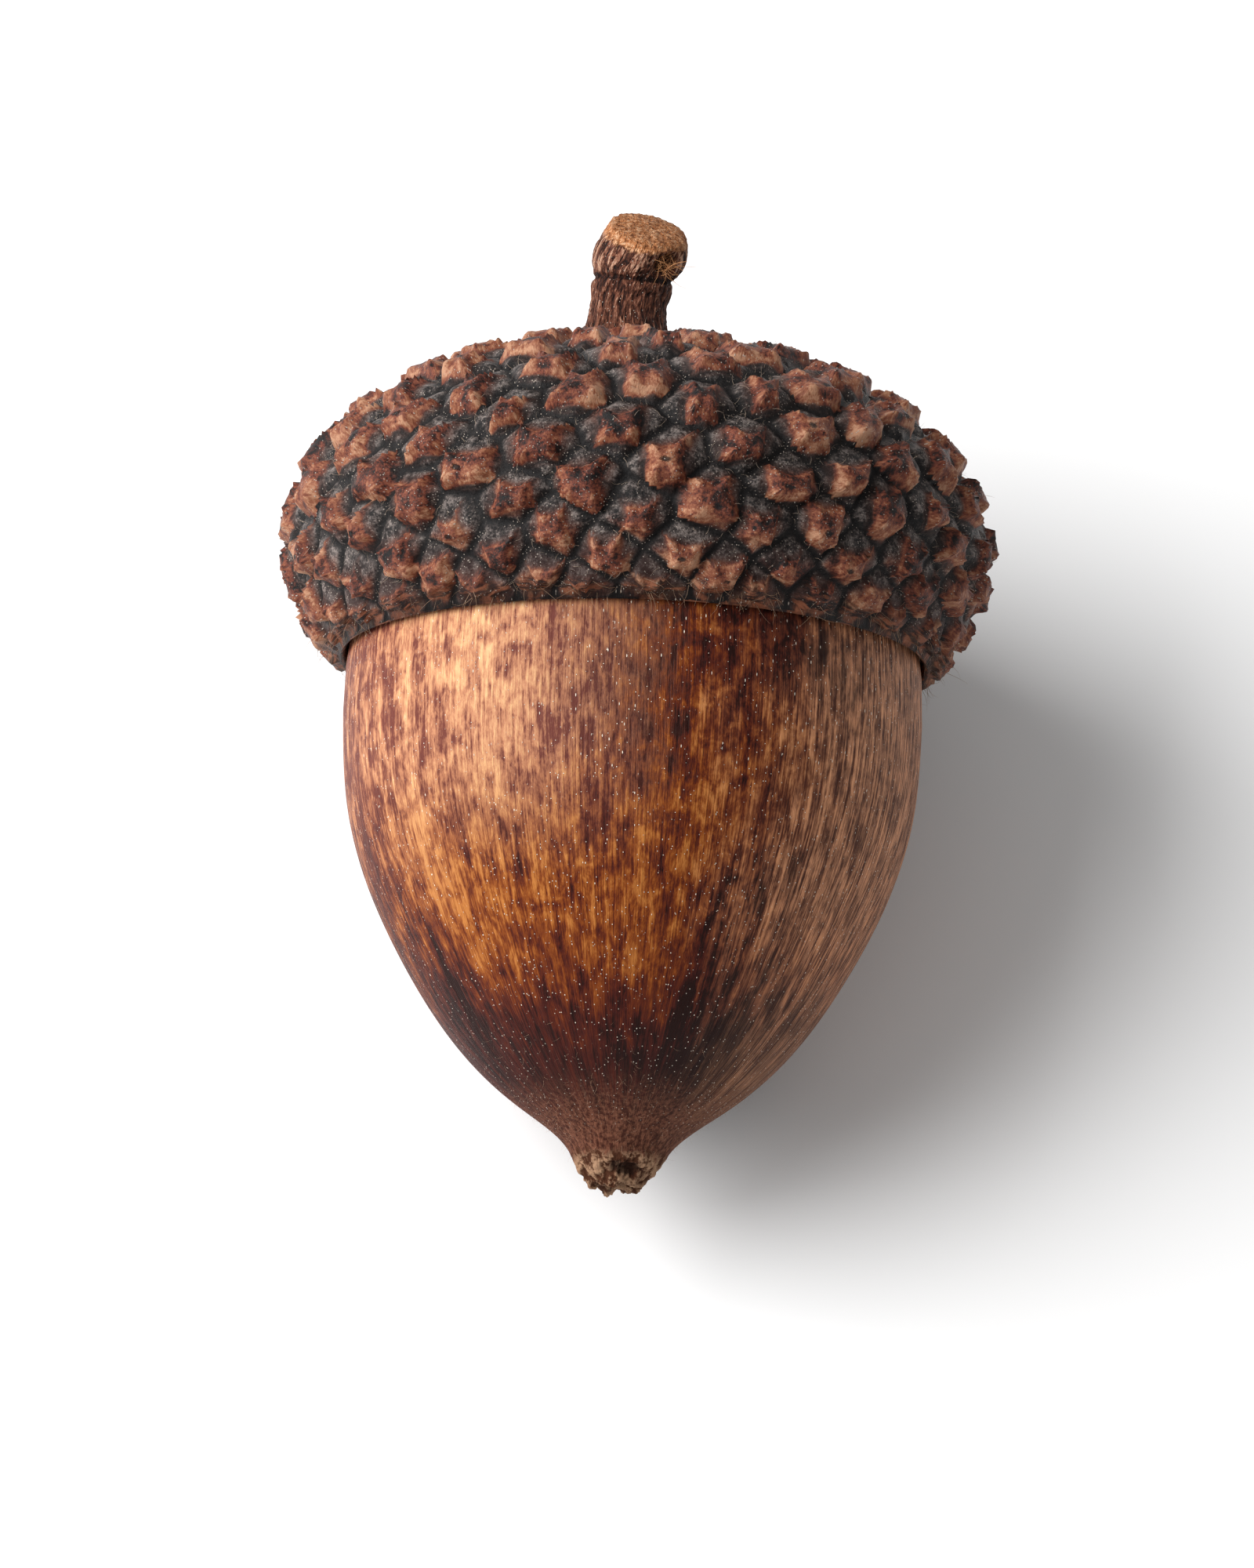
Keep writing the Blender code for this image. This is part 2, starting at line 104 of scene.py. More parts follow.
class Field:
    """A number, vector or mesh inside a node tree, so that a rule can be written as a sum."""

    def __init__(self, tree, socket):
        self.tree = tree
        self.socket = socket

    def maths(self, operation, *others, turned_round=False):
        values = (*others, self) if turned_round else (self, *others)
        return added(self.tree, "ShaderNodeMath", dict(enumerate(values)), operation=operation)

    def __add__(self, other):
        return self.maths("ADD", other)

    def __sub__(self, other):
        return self.maths("SUBTRACT", other)

    def __rsub__(self, other):
        return self.maths("SUBTRACT", other, turned_round=True)

    def __mul__(self, other):
        return self.maths("MULTIPLY", other)

    def __truediv__(self, other):
        return self.maths("DIVIDE", other)

    def __rtruediv__(self, other):
        return self.maths("DIVIDE", other, turned_round=True)

    def __pow__(self, other):
        return self.maths("POWER", other)

    __radd__ = __add__
    __rmul__ = __mul__

    def least(self, other):
        return self.maths("MINIMUM", other)

    def most(self, other):
        return self.maths("MAXIMUM", other)

    def size(self):
        return self.maths("ABSOLUTE")

    def rise(self, low, high):
        """0 below low, 1 above high and a smooth step between them; low may be the larger."""
        ends = (high, low, 1.0, 0.0) if low > high else (low, high, 0.0, 1.0)
        values = dict(enumerate((self, *ends)))
        return added(self.tree, "ShaderNodeMapRange", values, interpolation_type="SMOOTHSTEP")

    def around(self, middle, reach):
        """1 at the middle, falling smoothly to 0 at a reach to either side."""
        return (self - middle).size().rise(reach, 0.0)

    def parts(self):
        split = added(self.tree, "ShaderNodeSeparateXYZ", {0: self}).socket.node
        return [Field(self.tree, output) for output in split.outputs]

    def stretched(self, x, y, z):
        """A vector with each of its parts multiplied by its own factor."""
        return added(self.tree, "ShaderNodeVectorMath", {0: self, 1: (x, y, z)}, operation="MULTIPLY")

    def noise(self, scale, detail=3.0, roughness=0.5, distortion=0.0):
        """Cloudy noise read at this place, from about 0.2 to 0.8."""
        sizes = {"Scale": scale, "Detail": detail, "Roughness": roughness, "Distortion": distortion}
        return added(self.tree, "ShaderNodeTexNoise", {"Vector": self, **sizes})

    def cells(self, scale):
        """Distance from the nearest of many scattered points, in cells."""
        return added(self.tree, "ShaderNodeTexVoronoi", {"Vector": self, "Scale": scale}, "Distance")


def feed(tree, socket, value):
    """Puts a field on a socket as a link, and a plain number or colour as its value."""
    if isinstance(value, Field):
        tree.links.new(value.socket, socket)
    else:
        socket.default_value = value


def added(tree, kind, inputs, output=0, **settings):
    """Adds a node with these settings, feeds its inputs by name or number, and gives one of its outputs."""
    node = tree.nodes.new(kind)
    for name, value in settings.items():
        setattr(node, name, value)
    for key, value in inputs.items():
        feed(tree, node.inputs[key], value)
    return Field(tree, node.outputs[output])


def colour_between(share, first, second):
    """One colour where the share is 0 and another where it is 1; each is a colour or a field."""
    ends = [colour if isinstance(colour, Field) else (*colour, 1.0) for colour in (first, second)]
    return added(share.tree, "ShaderNodeMix", {0: share, 6: ends[0], 7: ends[1]}, 2, data_type="RGBA")


def carried(tree, name, output="Fac"):
    """A value that the mesh carries at each point, read in a material."""
    return added(tree, "ShaderNodeAttribute", {}, output, attribute_name=name)


def point_value(tree, name, kind="FLOAT"):
    """A value that the mesh carries at each point, read in a tree of Geometry Nodes."""
    return added(tree, "GeometryNodeInputNamedAttribute", {"Name": name}, "Attribute", data_type=kind)


def ramp(share, stops):
    """Colours that follow one another along a share; each stop is its place and its colour."""
    colour = added(share.tree, "ShaderNodeValToRGB", {0: share})
    marks = colour.socket.node.color_ramp.elements
    marks[0].position, marks[1].position = stops[0][0], stops[-1][0]
    marks[0].color, marks[1].color = (*stops[0][1], 1), (*stops[-1][1], 1)
    for place, tint in stops[1:-1]:
        marks.new(place).color = (*tint, 1)
    return colour


def blend(*shares):
    """A sum of noises, each taken about its middle and times its weight."""
    return sum((noise - 0.5) * weight for noise, weight in shares)


def start_material(name):
    material = bpy.data.materials.new(name)
    material.use_nodes = True
    return material, material.node_tree


def feed_shader(tree, values):
    for label, value in values.items():
        feed(tree, tree.nodes["Principled BSDF"].inputs[label], value)


def finish_material(material, colour, roughness, height, depth, shine):
    """Gives a material its colour, its roughness, a fine bump with a depth in metres, and its shine."""
    tree = material.node_tree
    bump = added(tree, "ShaderNodeBump", {"Strength": 1.0, "Distance": depth, "Height": height})
    feed_shader(tree, {"Base Color": colour, "Roughness": roughness, "Normal": bump})
    feed_shader(tree, {"Specular IOR Level": shine})


def start_growth(name, sizes):
    """A tree of Geometry Nodes with a mesh coming in and a named input for each size."""
    tree = bpy.data.node_groups.new(name, "GeometryNodeTree")
    tree.interface.new_socket("Mesh", in_out="INPUT", socket_type="NodeSocketGeometry")
    for label in sizes:
        tree.interface.new_socket(label, in_out="INPUT", socket_type="NodeSocketFloat")
    tree.interface.new_socket("Mesh", in_out="OUTPUT", socket_type="NodeSocketGeometry")
    start = tree.nodes.new("NodeGroupInput")
    inputs = {label: Field(tree, start.outputs[label]) for label in sizes}
    return tree, Field(tree, start.outputs["Mesh"]), inputs


def push_along_normal(tree, mesh, distance):
    """Moves each point of the mesh out along its normal by a distance in millimetres."""
    normal = added(tree, "GeometryNodeInputNormal", {})
    offset = added(tree, "ShaderNodeVectorMath", {0: normal, "Scale": distance * MM}, operation="SCALE")
    return added(tree, "GeometryNodeSetPosition", {"Geometry": mesh, "Offset": offset})


def keep_above_table(tree, mesh):
    """Flattens what would reach below the table's top."""
    x, y, z = added(tree, "GeometryNodeInputPosition", {}).parts()
    place = added(tree, "ShaderNodeCombineXYZ", {0: x, 1: y, 2: z.most(0.0)})
    return added(tree, "GeometryNodeSetPosition", {"Geometry": mesh, "Position": place})


def grown(name, mesh, tree, geometry, material, sizes):
    """Ends the tree, runs it on the mesh, and keeps the result as a plain mesh that rides on the acorn."""
    realized = added(tree, "GeometryNodeRealizeInstances", {0: geometry})
    painted = added(tree, "GeometryNodeSetMaterial", {"Geometry": realized, "Material": material})
    end = tree.nodes.new("NodeGroupOutput")
    feed(tree, end.inputs[0], painted)
    blank = bpy.data.objects.new(name + "_blank", mesh)
    bpy.context.scene.collection.objects.link(blank)
    modifier = blank.modifiers.new("Growth", "NODES")
    modifier.node_group = tree
    for item in tree.interface.items_tree:
        if item.in_out == "INPUT" and item.name in sizes:
            modifier[item.identifier] = float(sizes[item.name])
    graph = bpy.context.evaluated_depsgraph_get()
    plain = bpy.data.meshes.new_from_object(
        blank.evaluated_get(graph), preserve_all_data_layers=True, depsgraph=graph
    )
    bpy.data.objects.remove(blank)
    piece = bpy.data.objects.new(name, plain)
    bpy.context.scene.collection.objects.link(piece)
    return piece


NUT_RADIUS = 10.0
NUT_LENGTH = 27.5
NUT_WIDEST = 16.5
NUT_TOP_SQUARENESS = 2.3
NUT_TAPER = (
    (0.15, 0.88), (0.80, 1.40), (1.50, 1.83), (2.20, 2.56), (3.00, 3.65), (4.00, 4.84),
    (5.50, 6.18), (7.50, 7.50), (10.0, 8.78), (13.0, 9.72), (NUT_WIDEST, NUT_RADIUS),
)
NUT_SIDES = 420
NUT_RINGS = 200
TIP_LEAN = 0.18
TIP_FADE = 0.9
TIP_RAGGEDNESS = 0.20
NUT_RING_CROWDING = 1.35
# The rings of the hollow in the tip: their size as a share of its edge, and how deep they lie
TIP_HOLLOW = ((0.80, 0.02), (0.62, 0.14), (0.42, 0.36), (0.20, 0.44))


def nut_top(count, gap):
    """Heights and radii of the nut inside the cap, a gap outside it, from the widest ring to the pole."""
    turn = np.linspace(0, math.pi / 2, count)
    radii = (NUT_RADIUS + gap) * np.cos(turn) ** (2 / NUT_TOP_SQUARENESS)
    rise = (NUT_LENGTH - NUT_WIDEST + gap) * np.sin(turn) ** (2 / NUT_TOP_SQUARENESS)
    return NUT_WIDEST + rise, radii


def round_rings(heights, radii, sides, shifts=None):
    """Rings of points round the axis, in millimetres, each shifted sideways if asked."""
    angle = np.arange(sides) * 2 * math.pi / sides
    across = np.zeros(len(heights)) if shifts is None else np.asarray(shifts)
    return np.stack(
        (
            across[:, None] + np.outer(radii, np.cos(angle)),
            np.outer(radii, np.sin(angle)),
            np.repeat(np.asarray(heights)[:, None], sides, axis=1),
        ),
        axis=2,
    )


def nut_mesh():
    knots, radii = np.array(NUT_TAPER).T
    low = knots[0] + (knots[-1] - knots[0]) * np.linspace(0, 1, NUT_RINGS) ** NUT_RING_CROWDING
    high, high_radii = nut_top(16, 0.0)
    heights = np.concatenate((low, high[1:-1]))
    radii = np.concatenate((spline(knots, radii, low), high_radii[1:-1]))
    near_tip = np.exp(-heights / TIP_FADE)
    rings = round_rings(heights, radii, NUT_SIDES, -TIP_LEAN * near_tip)
    angle = np.arange(NUT_SIDES) * 2 * math.pi / NUT_SIDES
    torn = 0.5 * np.sin(5 * angle + 1) + 0.3 * np.sin(9 * angle) + 0.4 * np.sin(2 * angle + 2)
    rings[:, :, 2] += TIP_RAGGEDNESS * near_tip[:, None] * torn
    inward = []
    for share, depth in TIP_HOLLOW:
        ring = rings[0].copy()
        middle = ring.mean(axis=0)
        ring[:, :2] = middle[:2] + (ring[:, :2] - middle[:2]) * share
        ring[:, 2] = middle[2] + (ring[:, 2] - middle[2]) * share + depth
        inward.append(ring)
    rings = np.concatenate((inward[::-1], rings))
    grain = round_rings(rings[:, :, 2].mean(axis=1), np.full(len(rings), NUT_RADIUS), NUT_SIDES)
    floor = rings[0].mean(axis=0)
    return turned_mesh("nut_blank", rings, floor, (0, 0, NUT_LENGTH), {"grain": grain, "spot": rings})


NUT_SIZES = {
    "Fibre relief": 0.020, "Swelling": 0.05, "Tip roughness": 0.42, "Tip gap": 0.22,
}


# The gap in the crust on the front of the tip: its height, and its reach along the nut and across it
TIP_GAP_HEIGHT, TIP_GAP_TALL, TIP_GAP_WIDE = 0.62, 0.34, 1.15


def tip_gap_at(place):
    """1 in the dark gap on the front of the tip, where its crust has broken away."""
    x, y, z = place.parts()
    torn = place.noise(2.0, 3.0, 0.6)
    along = (z + (torn - 0.5) * 0.9).around(TIP_GAP_HEIGHT, TIP_GAP_TALL)
    return along * y.rise(0.2, -0.6) * (x - 0.15).around(0.0, TIP_GAP_WIDE)


def crumbs_at(place):
    """The same crumbs for the shape of the tip and for its colour."""
    return place.noise(3.0, 4.0, 0.65)


nut_tree, nut_geometry, nut_size = start_growth("nut_growth", NUT_SIZES)
nut_grain = point_value(nut_tree, "grain", "FLOAT_VECTOR")
nut_height = nut_grain.parts()[2]
nut_spot = point_value(nut_tree, "spot", "FLOAT_VECTOR")
fibres = nut_grain.stretched(1, 1, 0.05).noise(1.6, 4.0, 0.6) - 0.5
swelling = nut_grain.stretched(1, 1, 0.6).noise(0.16, 1.0) - 0.5
nut_push = (
    fibres * nut_size["Fibre relief"] * 2
    + swelling * nut_size["Swelling"] * nut_height.rise(1.0, 6.0)
    + (crumbs_at(nut_spot) - 0.5) * nut_size["Tip roughness"] * nut_height.rise(1.5, 0.7)
    - tip_gap_at(nut_spot) * nut_size["Tip gap"]
)
nut_geometry = keep_above_table(nut_tree, push_along_normal(nut_tree, nut_geometry, nut_push))

shell, shell_tree = start_material("nut_shell")
grain = carried(shell_tree, "grain", "Vector")
across, _, up = grain.parts()
spot = carried(shell_tree, "spot", "Vector")

NIGHT = (0.016, 0.004, 0.003)
MAROON = (0.055, 0.009, 0.006)
RUST = (0.110, 0.020, 0.006)
AMBER = (0.215, 0.052, 0.009)
GOLD = (0.43, 0.155, 0.035)
ROSY_DARK = (0.145, 0.036, 0.025)
ROSY = (0.46, 0.200, 0.105)
ROSY_PALE_SHEEN = (0.72, 0.43, 0.220)
TAN_DARK = (0.080, 0.026, 0.014)
TAN_FIBRE = (0.72, 0.34, 0.18)
SUEDE_DARK = (0.050, 0.014, 0.008)
SUEDE = (0.23, 0.090, 0.052)
CRUST = (0.44, 0.26, 0.155)
CRUST_DARK = (0.075, 0.026, 0.012)
CRUST_SHADOW = (0.022, 0.009, 0.006)
GLINT = (0.95, 0.84, 0.70)

SHELL_STOPS = ((0.06, NIGHT), (0.24, MAROON), (0.43, RUST), (0.63, AMBER), (0.92, GOLD))
# The rosy stops are partly the shell's own rosy tan and partly a painted sheen, palest at the last stop.
ROSY_STOPS = ((0.28, ROSY_DARK), (0.49, ROSY), (0.77, ROSY_PALE_SHEEN))
# Heights where the suede of the neck and the crust of the tip begin, and where they cover all
SUEDE_FROM, SUEDE_FULL = 3.7, 1.9
CRUST_FROM, CRUST_FULL = 1.35, 1.0
SHELL_BUMP = 0.00005
SHELL_SHINE = 0.09

mottle = grain.stretched(1, 1, 0.65).noise(1.5, 4.0, 0.66, 0.4)
streaks = grain.stretched(1, 1, 0.14).noise(1.2, 3.0, 0.62, 0.4)
patches = grain.stretched(1, 1, 0.6).noise(0.27, 3.0, 0.55, 0.5)
fine_fibres = grain.stretched(1, 1, 0.04).noise(11.0, 3.0, 0.75)
grit = grain.stretched(1, 1, 0.3).noise(5.0, 4.0, 0.75)


def on_shell(height, tall, side, wide):
    """1 at a place on the shell, fading to 0 at its reach along the nut and across it."""
    return up.around(height, tall) * across.around(side, wide)


amber_middle = on_shell(9.0, 6.5, -1.5, 9.5)
centre_gold = on_shell(12.6, 3.0, -1.6, 3.6)
right_gold = on_shell(13.4, 3.4, 4.8, 3.6)
left_gold = across.around(-7.4, 2.8) * up.rise(5.5, 9.0)
left_shade = on_shell(7.0, 4.5, -8.6, 3.0)
right_shade = on_shell(6.8, 4.0, 3.9, 3.4)
maroon_band = up.rise(9.0, 12.5) * across.around(1.3, 2.6)
# Painted shadow: the nut is darkened on its right just under the cap's rim, where the rim's shadow falls.
cap_rim_shadow = up.rise(15.0, 17.5) * across.around(6.0, 4.8)
low_shade = (up + blend((streaks, 1.6), (mottle, 2.0))).rise(7.4, 4.0)
tone = blend((mottle, 1.8), (streaks, 0.8), (patches, 1.0), (fine_fibres, 1.1), (grit, 1.1))
tone = 0.44 + tone * (0.45 + up.rise(3.5, 9.0) * 0.55)
tone = tone + amber_middle * 0.12 + left_gold * 0.18 + right_gold * 0.20 + centre_gold * 0.13
tone = tone - cap_rim_shadow * 0.18 - low_shade * (0.24 + across.rise(-2.5, 2.5) * 0.16)
tone = tone - across.rise(1.5, 6.5) * 0.10 - left_shade * 0.22 - right_shade * 0.15 - maroon_band * 0.12
shade = ramp(tone, SHELL_STOPS)

# Rosy tan over the upper left of the nut, the side towards the lamp: partly the shell's own colour, partly a
# painted sheen.
rosy_top_and_sheen = up.rise(8.8, 14.5) * (across + (mottle - 0.5) * 5).rise(2.2, -4.2)
rosy_side_and_sheen = across.rise(-5.0, -8.4) * up.rise(7.5, 13.0) * 0.6
rosy_tone = blend((mottle, 1.0), (streaks, 0.4), (patches, 0.5), (fine_fibres, 0.8), (grit, 0.8))
rosy_tone = 0.5 + rosy_tone - left_shade * 0.15 - across.rise(-7.4, -9.6) * 0.17
rosy_and_sheen_colour = ramp(rosy_tone, ROSY_STOPS)
shade = colour_between(rosy_top_and_sheen.most(rosy_side_and_sheen) * 0.85, shade, rosy_and_sheen_colour)

tan_tone = mottle * 0.24 + fine_fibres * 0.50 + grit * 0.26
tan_colour = colour_between(tan_tone.rise(0.42, 0.62), TAN_DARK, TAN_FIBRE)
tan_from = across + blend((streaks, 7.0), (mottle, 4.0))
tan_place = (tan_from - up.rise(9.0, 5.0) * 2 - cap_rim_shadow * 2).rise(2.2, 8.6)
shade = colour_between(tan_place * (0.55 + up.rise(5.0, 11.0) * 0.35), shade, tan_colour)

nap = spot.stretched(1, 1, 0.4).noise(8.0, 3.0, 0.7) * 0.7 + fine_fibres * 0.3
suede_colour = colour_between(nap.rise(0.40, 0.62), SUEDE_DARK, SUEDE)
suede_place = (up + (grit - 0.5) * 1.5).rise(SUEDE_FROM, SUEDE_FULL)
shade = colour_between(suede_place * 0.85, shade, suede_colour)
tip_crumbs = crumbs_at(spot)
crust_colour = colour_between(tip_crumbs.rise(0.44, 0.58), CRUST_DARK, CRUST)
crust_place = (up + (tip_crumbs - 0.5) * 1.5).rise(CRUST_FROM, CRUST_FULL)
shade = colour_between(crust_place * 0.9, shade, crust_colour)
shade = colour_between(tip_gap_at(spot).rise(0.2, 0.7) * 0.85, shade, CRUST_SHADOW)

# Pale specks of dust and hair on the shell, painted bright as glints: partly real dust, partly painted
# highlight.
dots = spot.cells(5.6).rise(0.14, 0.07)
dashes = spot.stretched(1, 1, 0.3).cells(5.4).rise(0.12, 0.06)
dust_and_glints = (dots + dashes).least(1.0) * grain.noise(0.7).rise(0.36, 0.52) * up.rise(1.4, 2.6)
shade = colour_between(dust_and_glints * 0.9, shade, GLINT)
shell_roughness = 0.46 - (fine_fibres - 0.5) * 0.4 + up.rise(5.0, 2.0) * 0.25
shell_height = fine_fibres * 0.8 + grit * 0.5 + mottle * 0.2 + dust_and_glints * 0.5 + tip_crumbs * up.rise(1.6, 1.0) * 2
finish_material(shell, shade, shell_roughness, shell_height, SHELL_BUMP, SHELL_SHINE)
nut = grown("nut_shell", nut_mesh(), nut_tree, nut_geometry, shell, NUT_SIZES)
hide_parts("nut")
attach(nut, "root")

# Cap. A woody cup that grew round the nut, its outside one mass of overlapping scales. Each scale is a
# dark felted pillow with a brown horny knob on it, pulled out into four horns, and the scales follow one
# another round the cup by the golden angle. They shrink towards the crown and the rim.
CAP_RADIUS = 12.58
CAP_APEX = 29.9
CAP_WIDEST = 22.26
CAP_RIM = 18.42
CAP_RIM_RADIUS = 10.32
CAP_DOME_SQUARENESS = 2.17
CAP_LIP_SQUARENESS = 1.6
CAP_SIDES = 620
CAP_OUTER_RINGS = 148
CAP_FIRST_RING = 0.35
CAP_INNER_GAP = 0.03
CAP_TOP_GAP = 0.15
# The turned-in lip: heights above the rim, and radii
CAP_LIP = ((-0.02, 10.17), (0.10, NUT_RADIUS + CAP_INNER_GAP), (0.60, NUT_RADIUS + CAP_INNER_GAP))
CAP_LINE_STEPS, DOME_STEPS, CROWD_STEPS = 700, 600, 2000
SCALE_SIZE = 2.62
SCALE_HEIGHT = 0.81
CROWN_SHRINK, CROWN_REACH = 0.20, 3.5
RIM_SHRINK, RIM_REACH, RIM_RELIEF_LOSS, RIM_BARE, RIM_CLEAR = 0.46, 2.4, 0.45, 0.10, 0.36
FIRST_SCALE_RADIUS = 1.4
STALK_FOOT_SHIFT, STALK_FOOT_RADIUS, STALK_CLEAR = -0.52, 1.72, 0.60
SCALE_TURN, SCALE_JITTER, SCALE_UNEVEN, SCALE_LEAN = 0.10, 0.12, 0.10, 0.07
BEARING_JITTER, SHARE_MOST, EDGE_CLEAR = 0.32, 0.68, 0.992
HORN_REACH, HORN_SHORTEST = 1.22, 0.70
# How straight the outline between two horns is, on the right, up, left and down sides of a knob
SIDE_CURVES = (0.72, 0.50, 0.72, 1.05)
KNOB_SHIFT = 0.10
KNOB_STRETCH = (0.82, 1.26)
WOBBLE, WOBBLE_WAVES, WOBBLE_LENGTH = 0.11, 9, (1.1, 3.2)
GOLDEN_ANGLE = math.pi * (3 - math.sqrt(5))
SCALE_SEED = 4
PLACES_AT_ONCE = 5000


def cap_line():
    """Distance from the crown, height and radius along the tops of the scales, and the flat map's radius."""
    turn = np.linspace(math.pi / 2, 0, CAP_LINE_STEPS)
    dome = 2 / CAP_DOME_SQUARENESS
    lip = 2 / CAP_LIP_SQUARENESS
    radii = np.concatenate(
        (
            CAP_RADIUS * np.cos(turn) ** dome,
            CAP_RIM_RADIUS + (CAP_RADIUS - CAP_RIM_RADIUS) * np.cos(turn[::-1][1:]) ** lip,
        )
    )
    heights = np.concatenate(
        (
            CAP_WIDEST + (CAP_APEX - CAP_WIDEST) * np.sin(turn) ** dome,
            CAP_WIDEST - (CAP_WIDEST - CAP_RIM) * np.sin(turn[::-1][1:]) ** lip,
        )
    )
    step = np.hypot(np.diff(heights), np.diff(radii))
    down = np.concatenate(([0], np.cumsum(step)))
    ground = np.maximum(radii, 0.01)
    spread = np.exp(np.concatenate(([0], np.cumsum(step / (0.5 * (ground[1:] + ground[:-1]))))))
    first = np.interp(FIRST_SCALE_RADIUS, radii[:DOME_STEPS], spread[:DOME_STEPS])
    return down, heights, radii, spread / first


cap_down, cap_heights, cap_radii, cap_spread = cap_line()
cap_length = cap_down[-1]


def scale_size_at(down):
    shrink = CROWN_SHRINK * np.exp(-down / CROWN_REACH)
    return SCALE_SIZE * (1 - shrink - RIM_SHRINK * np.exp(-(cap_length - down) / RIM_REACH))


def scale_centres(chance):
    """The middle of every scale, as complex numbers in a flat map of the cap that keeps small shapes true."""
    first = np.interp(FIRST_SCALE_RADIUS, cap_radii[:DOME_STEPS], cap_down[:DOME_STEPS])
    down = np.linspace(first, cap_length, CROWD_STEPS)
    crowd = 2 * math.pi * np.interp(down, cap_down, cap_radii)
    crowd /= math.sqrt(3) / 2 * scale_size_at(down) ** 2
    total = np.concatenate(([0], np.cumsum((crowd[1:] + crowd[:-1]) / 2 * np.diff(down))))
    centres = []
    for i in range(int(total[-1])):
        place = float(np.interp(i + 0.5, total, down))
        size = float(scale_size_at(place))
        if place > cap_length - RIM_BARE * size:
            break
        nudge = chance.uniform(-SCALE_JITTER, SCALE_JITTER, 2) * size
        radius = float(np.interp(place, cap_down, cap_radii))
        angle = i * GOLDEN_ANGLE + SCALE_TURN + nudge[0] / radius
        from_stalk = math.hypot(radius * math.cos(angle) - STALK_FOOT_SHIFT, radius * math.sin(angle))
        if from_stalk > STALK_FOOT_RADIUS + STALK_CLEAR * size:
            last_row = cap_length - RIM_CLEAR * size
            spread = float(np.interp(min(place + nudge[1], last_row), cap_down, cap_spread))
            centres.append(spread * complex(math.cos(angle), math.sin(angle)))
    return np.array(centres)


def scale_horns(centres, chance):
    """Size, place on the cap and four horns of every scale, the horns as steps down and round the cap."""
    units = np.interp(np.interp(abs(centres), cap_spread, cap_down), cap_down, cap_radii)
    sizes = scale_size_at(np.interp(abs(centres), cap_spread, cap_down))
    horns = np.zeros((len(centres), 4), complex)
    tops = np.zeros(len(centres))
    for i, centre in enumerate(centres):
        others = np.delete(centres, i)
        past_rim = centre * (2 * EDGE_CLEAR * cap_spread[-1] / abs(centre) - 1)
        steps = (np.append(others, past_rim) / centre - 1) * units[i]
        tops[i] = 1 - chance.uniform(0, SCALE_UNEVEN)
        # The plain cap leans each scale by this draw. Here it only keeps the two in step.
        chance.uniform(-SCALE_LEAN, SCALE_LEAN, 2)
        for k in range(8):
            bearing = math.pi / 4 * (k + 1) + chance.uniform(-BEARING_JITTER, BEARING_JITTER)
            if k % 2 == 0:
                direction = complex(math.cos(bearing), math.sin(bearing))
                along = (steps * direction.conjugate()).real
                near = along > 1e-3
                reach = abs(steps[near]) ** 2 / (2 * along[near])
                room = float(reach.min(initial=SHARE_MOST * sizes[i]))
                horns[i, k // 2] = direction * room * HORN_REACH * chance.uniform(HORN_SHORTEST, 1)
    return units, sizes, horns, tops


def wobble(rings):
    """Small shifts down and round the cap, in millimetres, that keep the scales from looking ruled."""
    chance = np.random.default_rng(SCALE_SEED + 2)
    shift = np.zeros(rings.shape[:2], complex)
    for _ in range(WOBBLE_WAVES):
        wave = chance.normal(size=3)
        wave *= 2 * math.pi / (np.linalg.norm(wave) * chance.uniform(*WOBBLE_LENGTH))
        shift += np.exp(1j * (rings @ wave + chance.uniform(0, 2 * math.pi)))
    return shift * WOBBLE / math.sqrt(WOBBLE_WAVES)


def scale_coordinates(rings, spread):
    """For each point of the outside: which scale it is on, and where on it."""
    chance = np.random.default_rng(SCALE_SEED)
    centres = scale_centres(chance)
    units, sizes, horns, tops = scale_horns(centres, chance)
    angle = np.arctan2(rings[:, :, 1], rings[:, :, 0])
    places = (spread[:, None] * np.exp(1j * angle)).ravel()
    nearest = np.empty(len(places), int)
    room = np.empty(len(places))
    radii = np.repeat(np.interp(spread, cap_spread, cap_radii), rings.shape[1])
    places *= 1 + wobble(rings).ravel() / radii
    for begin in range(0, len(places), PLACES_AT_ONCE):
        some = slice(begin, begin + PLACES_AT_ONCE)
        part = places[some]
        far = abs(part[:, None] - centres) ** 2
        two = np.argpartition(far, 1, axis=1)[:, :2]
        pair = np.take_along_axis(far, two, axis=1)
        first = np.take_along_axis(two, pair.argmin(axis=1)[:, None], axis=1)[:, 0]
        second = np.take_along_axis(two, pair.argmax(axis=1)[:, None], axis=1)[:, 0]
        gap = (pair.max(axis=1) - pair.min(axis=1)) / (2 * abs(centres[first] - centres[second]))
        nearest[some] = first
        room[some] = gap * units[first] / abs(centres[first]) / sizes[first]
    step = (places / centres[nearest] - 1) * units[nearest]
    share_a = np.zeros(len(places))
    share_b = np.zeros(len(places))
    curve = np.ones(len(places))
    middles = KNOB_SHIFT * sizes[nearest]
    for k in range(4):
        one = horns[nearest, k] - middles
        two = horns[nearest, (k + 1) % 4] - middles
        wide = (one.conjugate() * two).imag
        a = ((step - middles).conjugate() * two).imag / wide
        b = (one.conjugate() * (step - middles)).imag / wide
        inside = (a >= 0) & (b >= 0)
        share_a[inside], share_b[inside], curve[inside] = a[inside], b[inside], SIDE_CURVES[k]
    local = np.stack((step.imag / sizes[nearest], step.real / sizes[nearest], curve), axis=1)
    shape = rings.shape[:2]
    luck = np.random.default_rng(SCALE_SEED + 1)
    lot = luck.uniform(0, 1, len(centres))
    stretch = luck.uniform(*KNOB_STRETCH, len(centres))[nearest]
    share_a *= stretch
    share_b *= stretch
    flat = {"share_a": share_a, "share_b": share_b, "room": room, "top": tops[nearest], "lot": lot[nearest]}
    kept = {label: values.reshape(shape) for label, values in flat.items()}
    return {**kept, "local": local.reshape(*shape, 3)}


